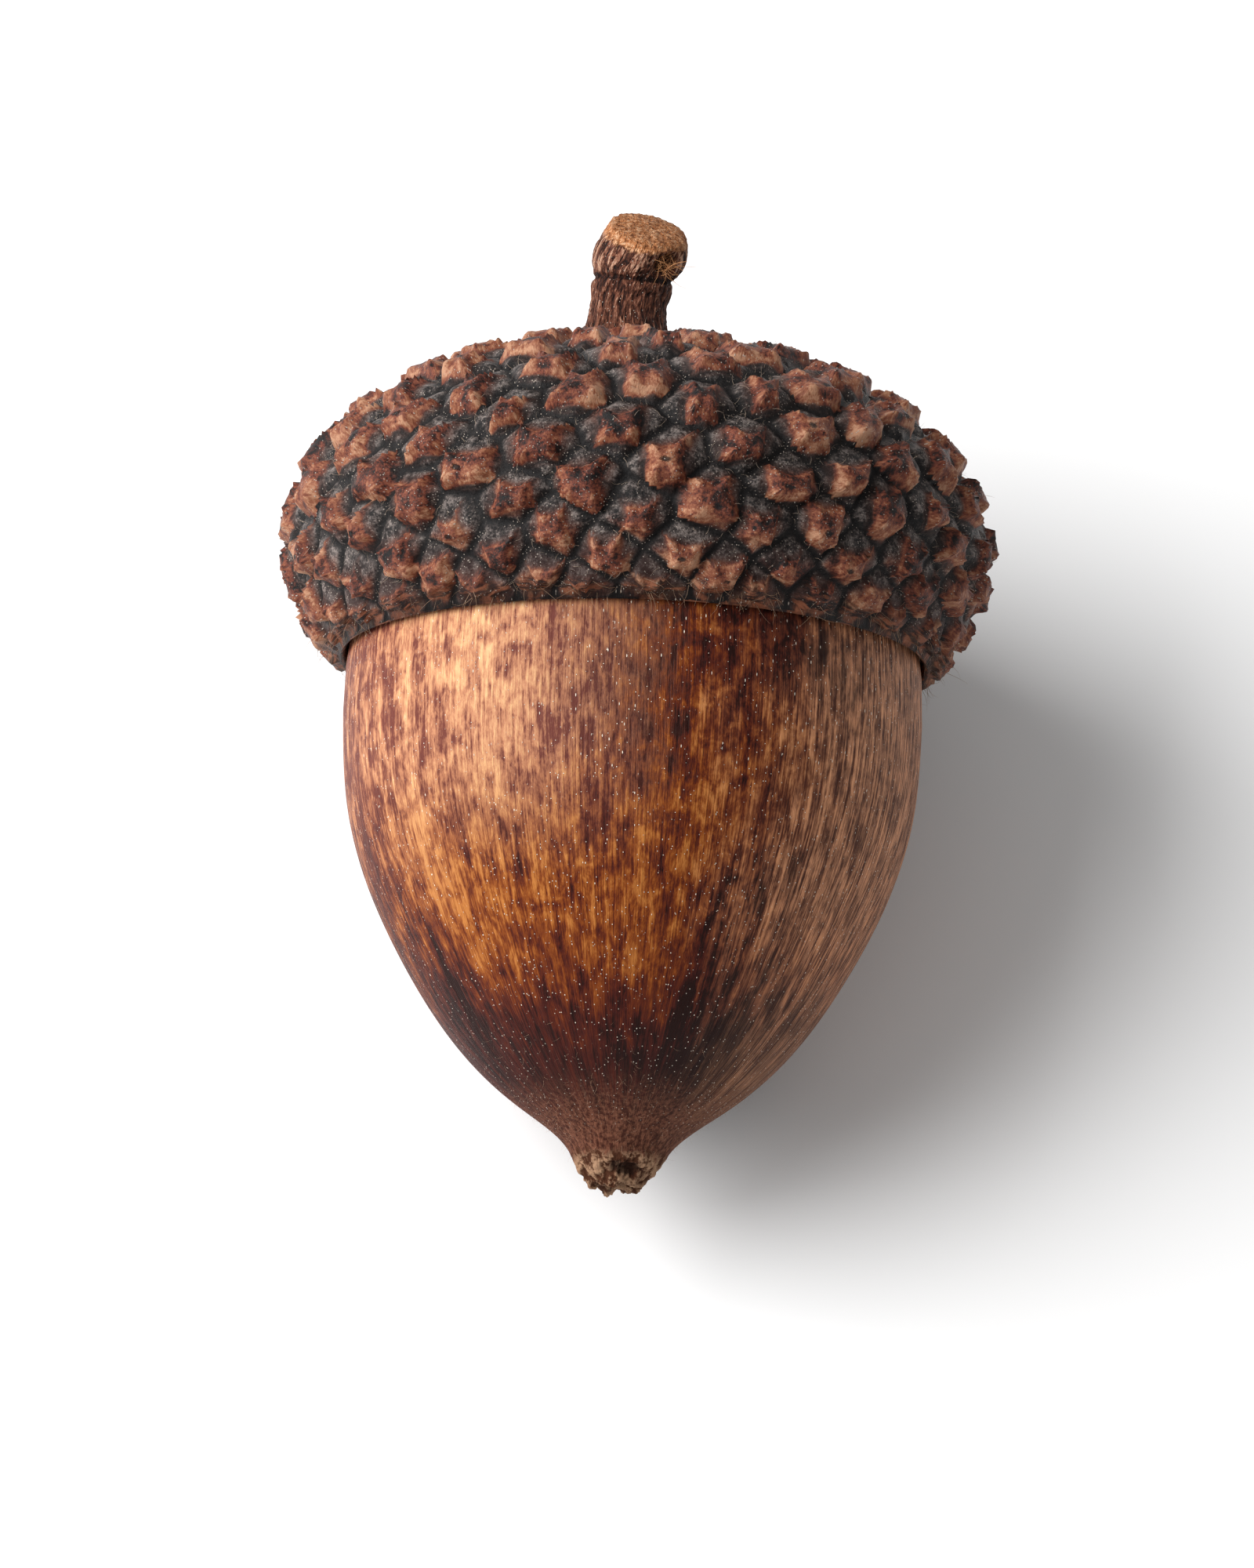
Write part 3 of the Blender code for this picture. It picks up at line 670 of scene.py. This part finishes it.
def cap_mesh():
    down = np.linspace(CAP_FIRST_RING, cap_length, CAP_OUTER_RINGS)
    heights = np.interp(down, cap_down, cap_heights)
    radii = np.interp(down, cap_down, cap_radii)
    outside = round_rings(heights, radii, CAP_SIDES)
    carried = scale_coordinates(outside, np.interp(down, cap_down, cap_spread))
    relief = SCALE_HEIGHT * (1 - RIM_RELIEF_LOSS * np.exp(-(cap_length - down) / RIM_REACH))
    lip_heights, lip_radii = np.array(CAP_LIP).T
    inner_heights, inner_radii = nut_top(9, CAP_TOP_GAP)
    keep = inner_heights > CAP_RIM + 2 * lip_heights[-1]
    keep[-1] = False
    inside_heights = np.concatenate((CAP_RIM + lip_heights, inner_heights[keep]))
    inside_radii = np.concatenate((lip_radii, inner_radii[keep]))
    inside = round_rings(inside_heights, inside_radii, CAP_SIDES)
    rings = np.concatenate((outside, inside))
    extra = len(inside)
    attributes = {"spot": rings}
    for label, values in carried.items():
        fill = np.zeros((extra, *values.shape[1:]))
        attributes[label] = np.concatenate((values, fill))
    full = np.repeat(relief[:, None], CAP_SIDES, axis=1)
    attributes["relief"] = np.concatenate((full, np.zeros((extra, CAP_SIDES))))
    for label, values in attributes.items():
        attributes[label] = values[::-1]
    return turned_mesh(
        "cap_blank", rings[::-1], (0, 0, inner_heights[-1]), (0, 0, CAP_APEX), attributes
    )


CAP_SIZES = {
    "Outline curve": 1.0, "Knob share": 0.50, "Body share": 0.42, "Keel share": 0.18,
    "Ragged outline": 0.30, "Felt roughness": 0.025,
}
cap_tree, cap_geometry, cap_size = start_growth("cap_growth", CAP_SIZES)


def star_distance(a, b, curve):
    """0 in the middle of a knob and 1 on its outline, which curves in between the horns."""
    return (a.most(0.0001) ** curve + b.most(0.0001) ** curve) ** (1 / curve)


def raggedness(spot):
    """The same noise for a knob's wall and for its colour, so that they keep together."""
    return spot.noise(1.3, 2.0, 0.5) - 0.5


def keel_at(a, b, star):
    """1 along the ridges that run from the middle of a knob out to its horns."""
    return (a - b).size().rise(0.12, 0.55) * star.rise(1.05, 0.55) * star.rise(0.05, 0.4)


cap_spot = point_value(cap_tree, "spot", "FLOAT_VECTOR")
_, scale_down, scale_curve = point_value(cap_tree, "local", "FLOAT_VECTOR").parts()
cap_a, cap_b = point_value(cap_tree, "share_a"), point_value(cap_tree, "share_b")
cap_star = star_distance(cap_a, cap_b, scale_curve.most(0.3) * cap_size["Outline curve"])
cap_room = point_value(cap_tree, "room")
body = (1 - (1 - cap_room.rise(-0.03, 0.26)) ** 2.0) * (0.50 + 0.50 * scale_down.rise(-0.60, 0.10))
knob_wall = (cap_star + raggedness(cap_spot) * cap_size["Ragged outline"]).rise(1.24, 0.60)
knob_dome = 1 - (cap_star.least(1.0) ** 1.6) * 0.55
level = (
    body * cap_size["Body share"]
    + knob_wall * knob_dome * cap_size["Knob share"]
    + keel_at(cap_a, cap_b, cap_star) * cap_size["Keel share"]
)
level = level * point_value(cap_tree, "top")
wrinkles = (cap_spot.noise(3.2, 4.0, 0.65) - 0.5) * cap_size["Felt roughness"] * 3
cap_relief = point_value(cap_tree, "relief")
cap_push = cap_relief * (level - 1) + wrinkles * cap_relief.rise(0.0, 0.1)
cap_geometry = keep_above_table(cap_tree, push_along_normal(cap_tree, cap_geometry, cap_push))

bark, bark_tree = start_material("cap_scales")
PITCH = (0.0035, 0.0028, 0.003)
CHARCOAL = (0.036, 0.029, 0.027)
ASH = (0.24, 0.200, 0.182)
FELT_BROWN = (0.085, 0.034, 0.023)
UMBER = (0.040, 0.011, 0.007)
RUSSET = (0.140, 0.034, 0.019)
BROWN = (0.235, 0.079, 0.038)
TAN = (0.43, 0.220, 0.128)
LINT = (0.62, 0.53, 0.45)
FELT_STOPS = ((0.28, PITCH), (0.50, CHARCOAL), (0.92, ASH))
HORN_STOPS = ((0.14, PITCH), (0.30, UMBER), (0.46, RUSSET), (0.64, BROWN), (0.90, TAN))
# Heights between which, going down, the scales turn horny all over, the felt brown and the rim stranded
LUMPY_FROM, LUMPY_FULL = 21.6, 19.6
WARM_FROM, WARM_FULL = 20.6, 18.7
STRANDED_FROM, STRANDED_FULL = 18.95, 18.6
CAP_BUMP = 0.00009
CAP_SHINE = 0.21

knob_a, knob_b = carried(bark_tree, "share_a"), carried(bark_tree, "share_b")
lot = carried(bark_tree, "lot")
side_room = carried(bark_tree, "room")
bark_spot = carried(bark_tree, "spot", "Vector")
bark_up = bark_spot.parts()[2]
side_across, side_down, side_curve = carried(bark_tree, "local", "Vector").parts()
fine = bark_spot.noise(11.0, 4.0, 0.72)
mid = bark_spot.noise(2.4, 5.0, 0.68)
wide = bark_spot.noise(1.1, 3.0, 0.6)
worn = bark_spot.noise(0.8, 3.0, 0.6)

star = star_distance(knob_a, knob_b, side_curve.most(0.3))
rough_star = star + raggedness(bark_spot) * CAP_SIZES["Ragged outline"]
rough_star = rough_star + (fine - 0.5) * 0.16 + (worn - 0.46) * 0.5
sharp_side = side_down.rise(-0.20, 0.15)
horny = rough_star.rise(1.23, 1.07) * sharp_side + rough_star.rise(1.42, 0.84) * (1 - sharp_side)
lumpy = bark_up.rise(LUMPY_FROM, LUMPY_FULL) * side_down.rise(-0.16, 0.20) * side_room.rise(0.05, 0.16)
horny = horny.most(lumpy * (0.4 + mid).least(1.0))

warm = bark_up.rise(WARM_FROM, WARM_FULL)
# Painted shade: the felt is darker towards the lower part of each scale and lighter on its upper part, as
# light falls on it.
felt_tone = 0.53 + blend((fine, 1.5), (mid, 1.8)) - side_down.rise(-0.1, 0.4) * 0.10
felt = ramp(felt_tone, FELT_STOPS)
halo = (rough_star + (mid - 0.5) * 0.5).rise(1.85, 1.20)
felt = colour_between(halo * (mid.rise(0.40, 0.60) * 0.6 + 0.2), felt, FELT_BROWN)
felt = colour_between(warm * 0.5, felt, UMBER)
# Painted shade: near-black in the creases between the scales, and a painted shadow just below each knob's
# lower edge.
shaded_crevice = side_room.rise(0.115, 0.02)
shadow_under_knob = rough_star.around(1.36, 0.24) * side_down.rise(0.02, 0.28)
felt = colour_between((shaded_crevice * 0.95).most(shadow_under_knob * 0.8), felt, PITCH)

knob_tone = 0.37 + blend((wide, 1.3), (mid, 1.3), (fine, 1.0), (lot, 0.18))
# Knobs are lighter along their ridges and just inside their outline: partly wear, partly a painted highlight.
knob_tone = knob_tone + keel_at(knob_a, knob_b, star) * 0.26 + side_down.rise(-0.2, 0.4) * 0.12
knob_tone = knob_tone + rough_star.around(0.92, 0.16) * 0.14 + warm * 0.08
horn_colour = ramp(knob_tone, HORN_STOPS)
# A small pit low on many knobs, dented by the bump and painted near-black as the shade inside it.
pit_far = (side_across * side_across * 0.4 + (side_down - 0.13) * (side_down - 0.13)) ** 0.5
shaded_pit = (pit_far + (fine - 0.5) * 0.07).rise(0.050, 0.020) * lot.rise(0.50, 0.56)
horn_colour = colour_between(shaded_pit * 0.9, horn_colour, PITCH)
strands = bark_spot.stretched(0.5, 0.5, 4.0).noise(2.6, 3.0, 0.6)
stranded = (bark_up + (mid - 0.5) * 0.9).rise(STRANDED_FROM, STRANDED_FULL)
strand_colour = colour_between(strands.rise(0.46, 0.62), PITCH, BROWN)
horn_colour = colour_between(stranded * 0.85, horn_colour, strand_colour)

cap_colour = colour_between(horny, felt, horn_colour)
lint = bark_spot.cells(8.0).rise(0.22, 0.12) * bark_spot.noise(0.9).rise(0.36, 0.54)
cap_colour = colour_between(lint * 0.75, cap_colour, LINT)
cap_roughness = 0.52 - horny * 0.04 + (fine - 0.5) * 0.4
cap_height = fine * 0.55 + mid * 0.7 - shaded_pit * 1.5 + lint * 0.4
finish_material(bark, cap_colour, cap_roughness, cap_height, CAP_BUMP, CAP_SHINE)
cap = grown("cap_scaly_cup", cap_mesh(), cap_tree, cap_geometry, bark, CAP_SIZES)
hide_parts("cap")
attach(cap, "root")

# Hairs. Pale dead hairs: short ones that stand among the scales, long ones that hang from the cap's rim
# over the nut, and a fine down on the nut's neck. Each is one bent, tapering hair, rooted in the skin. The
# same rule makes the torn fibres of the stalk.
HAIR_LINE = {"Start": (0, 0, -0.05), "Middle": (0, 0, 0.55), "End": (0.45, 0, 0.85)}
HAIR_SIDES = 3
HAIR_STEPS = 3
HAIR_LEAN = 0.9
HAIR_TAPER = 0.8
HAIR_ROUGHNESS = 0.55
HAIR_SHINE = 0.3


def scattered_hairs(name, source, colour, sizes, seed, where, hang):
    """Hairs over a copy of a piece, most where the rule says, turned from its normal towards a direction."""
    tree, geometry, size = start_growth(name, sizes)
    crowd = where(tree) * size["Hairs per square mm"] * 1e6
    spread = {"Mesh": geometry, "Density": crowd, "Seed": seed}
    points = added(tree, "GeometryNodeDistributePointsOnFaces", spread, "Points")
    normal = Field(tree, points.socket.node.outputs["Normal"])
    bend = {label: [part * MM for part in point] for label, point in HAIR_LINE.items()}
    line = added(tree, "GeometryNodeCurveQuadraticBezier", {"Resolution": HAIR_STEPS, **bend})
    circle = {"Resolution": HAIR_SIDES, "Radius": size["Thickness"] * MM}
    ring = added(tree, "GeometryNodeCurvePrimitiveCircle", circle)
    thin = 1 - added(tree, "GeometryNodeSplineParameter", {}, "Factor") * HAIR_TAPER
    hair = {"Curve": line, "Profile Curve": ring, "Fill Caps": True, "Scale": thin}
    skin = added(tree, "GeometryNodeCurveToMesh", hair)
    towards = added(tree, "ShaderNodeVectorMath", {0: normal, 1: hang})
    stand = added(tree, "FunctionNodeAlignRotationToVector", {"Vector": towards})
    turns = {0: (-HAIR_LEAN, -HAIR_LEAN, -math.pi), 1: (HAIR_LEAN, HAIR_LEAN, math.pi), "Seed": seed + 1}
    fall = added(tree, "FunctionNodeRandomValue", turns, data_type="FLOAT_VECTOR")
    lean = added(tree, "FunctionNodeRotateRotation", {0: stand, 1: fall}, rotation_space="LOCAL")
    lengths = {2: size["Shortest"], 3: size["Longest"], "Seed": seed + 2}
    length = added(tree, "FunctionNodeRandomValue", lengths, 1)
    stood = {"Points": points, "Instance": skin, "Rotation": lean, "Scale": length}
    place = added(tree, "GeometryNodeInstanceOnPoints", stood)
    material, paint = start_material(name)
    feed_shader(paint, {"Base Color": (*colour, 1), "Roughness": HAIR_ROUGHNESS})
    feed_shader(paint, {"Specular IOR Level": HAIR_SHINE})
    piece = grown(name, source.data.copy(), tree, place, material, sizes)
    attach(piece, "root")
    return piece


def clear_of_table(tree):
    """0 near the table, where a hair could reach below it."""
    return (added(tree, "GeometryNodeInputPosition", {}).parts()[2] / MM).rise(1.3, 2.2)


def felt_places(tree):
    """In tufts over the cap's outside, most in the creases between the scales."""
    outside = point_value(tree, "relief").rise(0.05, 0.1)
    tufts = point_value(tree, "spot", "FLOAT_VECTOR").noise(0.5, 2.0).rise(0.42, 0.60)
    return outside * clear_of_table(tree) * tufts * (0.35 + point_value(tree, "room").rise(0.22, 0.05))


def rim_places(tree):
    """Along the cap's lowest edge."""
    height = point_value(tree, "spot", "FLOAT_VECTOR").parts()[2]
    outside = point_value(tree, "relief").rise(0.05, 0.1)
    return outside * clear_of_table(tree) * height.rise(19.05, 18.65)


def neck_places(tree):
    """On the nut's neck, above its crusted tip."""
    height = point_value(tree, "spot", "FLOAT_VECTOR").parts()[2]
    return clear_of_table(tree) * height.rise(5.5, 2.5) * height.rise(0.9, 1.4)


TIPWARD = LAID.to_3x3() @ Vector((0, 0, -1))
FELT_SIZES = {"Hairs per square mm": 4.0, "Thickness": 0.018, "Shortest": 0.10, "Longest": 0.45}
RIM_SIZES = {"Hairs per square mm": 5.0, "Thickness": 0.010, "Shortest": 0.30, "Longest": 1.00}
NECK_SIZES = {"Hairs per square mm": 9.0, "Thickness": 0.009, "Shortest": 0.12, "Longest": 0.34}
FELT_HAIR = (0.42, 0.32, 0.24)
RIM_HAIR = (0.30, 0.19, 0.12)
NECK_HAIR = (0.52, 0.33, 0.22)
scattered_hairs("cap_felt_hairs", cap, FELT_HAIR, FELT_SIZES, 11, felt_places, (0, 0, 0))
scattered_hairs("cap_rim_hairs", cap, RIM_HAIR, RIM_SIZES, 23, rim_places, TIPWARD * 1.6)
scattered_hairs("nut_neck_hairs", nut, NECK_HAIR, NECK_SIZES, 51, neck_places, TIPWARD * 1.8)

# Stalk. The stub of twig the cap grew on: ribbed bark, a ring scar and a bulge above it, and a slanting
# end where it broke, grainy and golden inside, torn hollow at its lower right with frayed fibres.
STALK_PATH = (
    (29.05, -0.50, 2.00), (29.43, -0.51, 1.80), (30.00, -0.58, 1.53), (30.70, -0.60, 1.38),
    (31.30, -0.55, 1.34), (32.00, -0.44, 1.40), (32.35, -0.38, 1.40), (32.70, -0.28, 1.57),
    (33.30, -0.12, 1.58), (34.00, 0.06, 1.46),
)
STALK_SIDES = 200
STALK_RINGS = 110
STALK_SLANT_FROM = 31.3
STALK_CUT_SLOPE = 0.72
STALK_CUT_TOWARDS = (0.26, -0.97)
STALK_CUT_DOME = 0.26
STALK_ROUND_FROM, STALK_ROUNDING = 33.3, 0.07
STALK_TEAR_HEIGHT, STALK_TEAR_BEARING = 33.15, -0.85
STALK_TEAR_REACH, STALK_TEAR_WIDTH, STALK_TEAR_DEPTH = 0.60, 0.46, 0.62
STALK_GRAIN_RADIUS = 1.5
STALK_SCAR = 32.25
# The rings of the broken end, as shares of its edge
STALK_END_RINGS = (0.98, 0.94, 0.88, 0.8, 0.7, 0.6, 0.5, 0.4, 0.3, 0.2, 0.1)


def stalk_mesh():
    knots, shifts, radii = np.array(STALK_PATH).T
    heights = np.linspace(knots[0], knots[-1], STALK_RINGS)
    angle = np.arange(STALK_SIDES) * 2 * math.pi / STALK_SIDES
    off = (angle - STALK_TEAR_BEARING + math.pi) % (2 * math.pi) - math.pi
    tear = np.exp(
        -(((heights[:, None] - STALK_TEAR_HEIGHT) / STALK_TEAR_REACH) ** 2) - (off / STALK_TEAR_WIDTH) ** 2
    )
    rings = round_rings(heights, spline(knots, radii, heights), STALK_SIDES)
    torn_in = tear * STALK_TEAR_DEPTH / spline(knots, radii, heights)[:, None]
    rings[:, :, :2] *= 1 - torn_in[:, :, None]
    rounding = np.clip((heights - STALK_ROUND_FROM) / (knots[-1] - STALK_ROUND_FROM), 0, 1)
    rings[:, :, :2] *= (1 - STALK_ROUNDING * rounding**2)[:, None, None]
    rings[:, :, 0] += spline(knots, shifts, heights)[:, None]
    towards_x, towards_y = STALK_CUT_TOWARDS
    slope = STALK_CUT_SLOPE * (towards_x * (rings[:, :, 0] - shifts[-1]) + towards_y * rings[:, :, 1])
    share = np.clip((heights - STALK_SLANT_FROM) / (knots[-1] - STALK_SLANT_FROM), 0, 1)[:, None]
    rings[:, :, 2] -= share * slope
    bark_grain = round_rings(heights, np.full(STALK_RINGS, STALK_GRAIN_RADIUS), STALK_SIDES)
    cut_normal = np.array((STALK_CUT_SLOPE * towards_x, STALK_CUT_SLOPE * towards_y, 1.0))
    cut_normal /= np.linalg.norm(cut_normal)
    face = []
    face_grain = []
    middle = rings[-1].mean(axis=0)
    for part in STALK_END_RINGS:
        lift = cut_normal * STALK_CUT_DOME * (1 - part**2) ** 0.5
        face.append(middle + (rings[-1] - middle) * part + lift)
        face_grain.append(bark_grain[-1] * (part, part, 1) + (0, 0, 3.0 * (1 - part)))
    cut = np.concatenate((rounding * 0.75, np.ones(len(face))))
    torn = np.concatenate((tear, np.zeros((len(face), STALK_SIDES))))
    rings = np.concatenate((rings, face))
    attributes = {
        "grain": np.concatenate((bark_grain, face_grain)),
        "spot": rings,
        "torn": torn,
        "cut": np.repeat(cut[:, None], STALK_SIDES, axis=1),
    }
    crown = middle + cut_normal * STALK_CUT_DOME
    return turned_mesh("stalk_blank", rings, (shifts[0], 0, knots[0]), crown, attributes)


STALK_SIZES = {"Rib depth": 0.07, "Lumpiness": 0.14, "Scar depth": 0.09, "Break roughness": 0.13}


def ribs_at(place):
    """The same ribs for the shape of the bark and for its colour."""
    return place.stretched(1, 1, 0.30).noise(4.6, 4.0, 0.65, 0.6)


stalk_tree, stalk_geometry, stalk_size = start_growth("stalk_growth", STALK_SIZES)
stalk_grain = point_value(stalk_tree, "grain", "FLOAT_VECTOR")
stalk_spot = point_value(stalk_tree, "spot", "FLOAT_VECTOR")
stalk_cut = point_value(stalk_tree, "cut")
stalk_torn = point_value(stalk_tree, "torn")
ribs = ribs_at(stalk_grain) - 0.5
lumps = stalk_spot.noise(1.1, 2.0) - 0.5
scar = (stalk_grain.parts()[2] + lumps * 0.5).around(STALK_SCAR, 0.16)
torn_end = stalk_spot.noise(4.0, 4.0, 0.65) - 0.5
stalk_push = (
    ribs * stalk_size["Rib depth"] * 3
    + lumps * stalk_size["Lumpiness"]
    - scar * stalk_size["Scar depth"]
) * (1 - stalk_cut) + torn_end * stalk_size["Break roughness"] * (stalk_cut * 2 + stalk_torn * 4)
stalk_geometry = push_along_normal(stalk_tree, stalk_geometry, stalk_push)

twig, twig_tree = start_material("stalk_bark")
TWIG_BLACK = (0.010, 0.004, 0.003)
TWIG_UMBER = (0.060, 0.018, 0.010)
TWIG_BROWN = (0.19, 0.068, 0.038)
TWIG_PALE = (0.52, 0.30, 0.20)
HOLLOW_SHADE = (0.010, 0.003, 0.002)
HOLLOW_RED = (0.22, 0.075, 0.026)
BREAK_DARK = (0.13, 0.038, 0.013)
BREAK_ORANGE = (0.47, 0.180, 0.066)
BREAK_PALE = (0.80, 0.48, 0.28)
TWIG_CRUMB = (0.70, 0.60, 0.50)
TWIG_STOPS = ((0.15, TWIG_BLACK), (0.36, TWIG_UMBER), (0.58, TWIG_BROWN), (0.90, TWIG_PALE))
BREAK_STOPS = ((0.15, BREAK_DARK), (0.5, BREAK_ORANGE), (0.85, BREAK_PALE))
TWIG_BUMP = 0.00010
TWIG_SHINE = 0.14

twig_grain = carried(twig_tree, "grain", "Vector")
twig_spot = carried(twig_tree, "spot", "Vector")
twig_cut = carried(twig_tree, "cut")
twig_torn = carried(twig_tree, "torn")
twig_up = twig_grain.parts()[2]
twig_ribs = ribs_at(twig_grain)
twig_fine = twig_grain.stretched(1, 1, 0.4).noise(12.0, 4.0, 0.7)
twig_ridges = twig_grain.stretched(1, 1, 0.16).noise(8.0, 2.0, 0.5, 0.8).rise(0.44, 0.60) - 0.5
above_scar = STALK_SCAR - 0.05
bark_tone = 0.43 + blend((twig_ribs, 1.3), (twig_fine, 1.2)) + twig_up.rise(above_scar, 32.8) * 0.12
bark_tone = bark_tone + twig_ridges * (0.18 + twig_up.rise(above_scar, 32.6) * 0.22)
bark_tone = bark_tone - twig_up.around(STALK_SCAR, 0.2) * 0.25
bark_colour = ramp(bark_tone, TWIG_STOPS)
# The torn hollow: red-brown fibres with painted shade, near-black, where the hole lies in shadow.
hollow_fibres_and_shade = colour_between(twig_fine.rise(0.45, 0.62), HOLLOW_SHADE, HOLLOW_RED)
bark_colour = colour_between(twig_torn.rise(0.25, 0.6), bark_colour, hollow_fibres_and_shade)
broken = twig_spot.noise(5.5, 4.0, 0.7)
broken_colour = ramp(0.5 + (broken - 0.5) * 2.0, BREAK_STOPS)
golden = (twig_cut + (broken - 0.5) * 0.9).rise(0.30, 0.62)
twig_colour = colour_between(golden, bark_colour, broken_colour)
crumb = twig_spot.cells(7.0).rise(0.16, 0.08)
twig_colour = colour_between(crumb * 0.7, twig_colour, TWIG_CRUMB)
twig_roughness = 0.70 + (twig_fine - 0.5) * 0.3
twig_height = twig_fine + twig_ribs + twig_ridges * 0.6 + broken * twig_cut * 1.5
finish_material(twig, twig_colour, twig_roughness, twig_height, TWIG_BUMP, TWIG_SHINE)
stalk = grown("stalk_stub", stalk_mesh(), stalk_tree, stalk_geometry, twig, STALK_SIZES)
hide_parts("stalk")
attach(stalk, "root")


def frayed_places(tree):
    """In the torn hollow under the broken end."""
    return point_value(tree, "torn").rise(0.25, 0.6)


FRAY_SIZES = {"Hairs per square mm": 45.0, "Thickness": 0.012, "Shortest": 0.35, "Longest": 1.1}
FRAY = (0.66, 0.31, 0.13)
OUT_AND_DOWN = LAID.to_3x3() @ Vector((0.6, -0.3, -0.8))
scattered_hairs("stalk_fibres", stalk, FRAY, FRAY_SIZES, 37, frayed_places, OUT_AND_DOWN)

# Studio. A pale floor under soft daylight from the upper left, and a long lens that looks down on the
# acorn from the tip's side, turned a little so that the stalk leans right.
bpy.ops.mesh.primitive_plane_add(size=2.0, location=(0, 0, 0))
floor = bpy.context.object
floor.name = "floor"
paper, paper_tree = start_material("floor_paper")
feed_shader(paper_tree, {"Base Color": (0.88, 0.88, 0.88, 1), "Roughness": 0.9})
floor.data.materials.append(paper)

world = bpy.data.worlds.new("studio")
world.use_nodes = True
world.node_tree.nodes["Background"].inputs["Color"].default_value = (1, 1, 1, 1)
world.node_tree.nodes["Background"].inputs["Strength"].default_value = 0.38
bpy.context.scene.world = world

LAMP_PLACE = Vector((-0.49, 0.04, 0.43))
LAMP_AIM = Vector((0, 0, 0.010))
LAMP_SIZE = 0.62
LAMP_WATTS = 8.6
glow = bpy.data.lights.new("key", "AREA")
glow.size = LAMP_SIZE
glow.energy = LAMP_WATTS
lamp = bpy.data.objects.new("key", glow)
lamp.location = LAMP_PLACE
lamp.rotation_euler = (LAMP_AIM - LAMP_PLACE).to_track_quat("-Z", "Y").to_euler()
bpy.context.scene.collection.objects.link(lamp)

VIEW_DISTANCE = 0.300
VIEW_DOWN = math.radians(61.0325)
VIEW_ROLL = math.radians(1.6)
PIXELS_PER_METRE = 36950
MID_AXIS = 16.0
MID_AXIS_PIXEL = (6.8, 62.9)
PICTURE_HEIGHT = 2000
SENSOR_HEIGHT = 36
ahead = Vector((0, math.cos(VIEW_DOWN), -math.sin(VIEW_DOWN)))
level_right = Vector((1, 0, 0))
level_up = Vector((0, math.sin(VIEW_DOWN), math.cos(VIEW_DOWN)))
right = level_right * math.cos(VIEW_ROLL) + level_up * math.sin(VIEW_ROLL)
upward = level_up * math.cos(VIEW_ROLL) - level_right * math.sin(VIEW_ROLL)
middle = LAID @ Vector((0, 0, MID_AXIS * MM))
aim = middle - (right * MID_AXIS_PIXEL[0] + upward * MID_AXIS_PIXEL[1]) / PIXELS_PER_METRE
lens = bpy.data.cameras.new("camera")
lens.sensor_fit = "VERTICAL"
lens.sensor_height = SENSOR_HEIGHT
lens.lens = SENSOR_HEIGHT * VIEW_DISTANCE * PIXELS_PER_METRE / PICTURE_HEIGHT
lens.clip_start = 0.01
lens.clip_end = 10
camera = bpy.data.objects.new("camera", lens)
turn = Matrix((right, upward, -ahead)).transposed().to_4x4()
camera.matrix_world = Matrix.Translation(aim - ahead * VIEW_DISTANCE) @ turn
bpy.context.scene.collection.objects.link(camera)
bpy.context.scene.camera = camera
bpy.context.scene.view_settings.view_transform = "Standard"
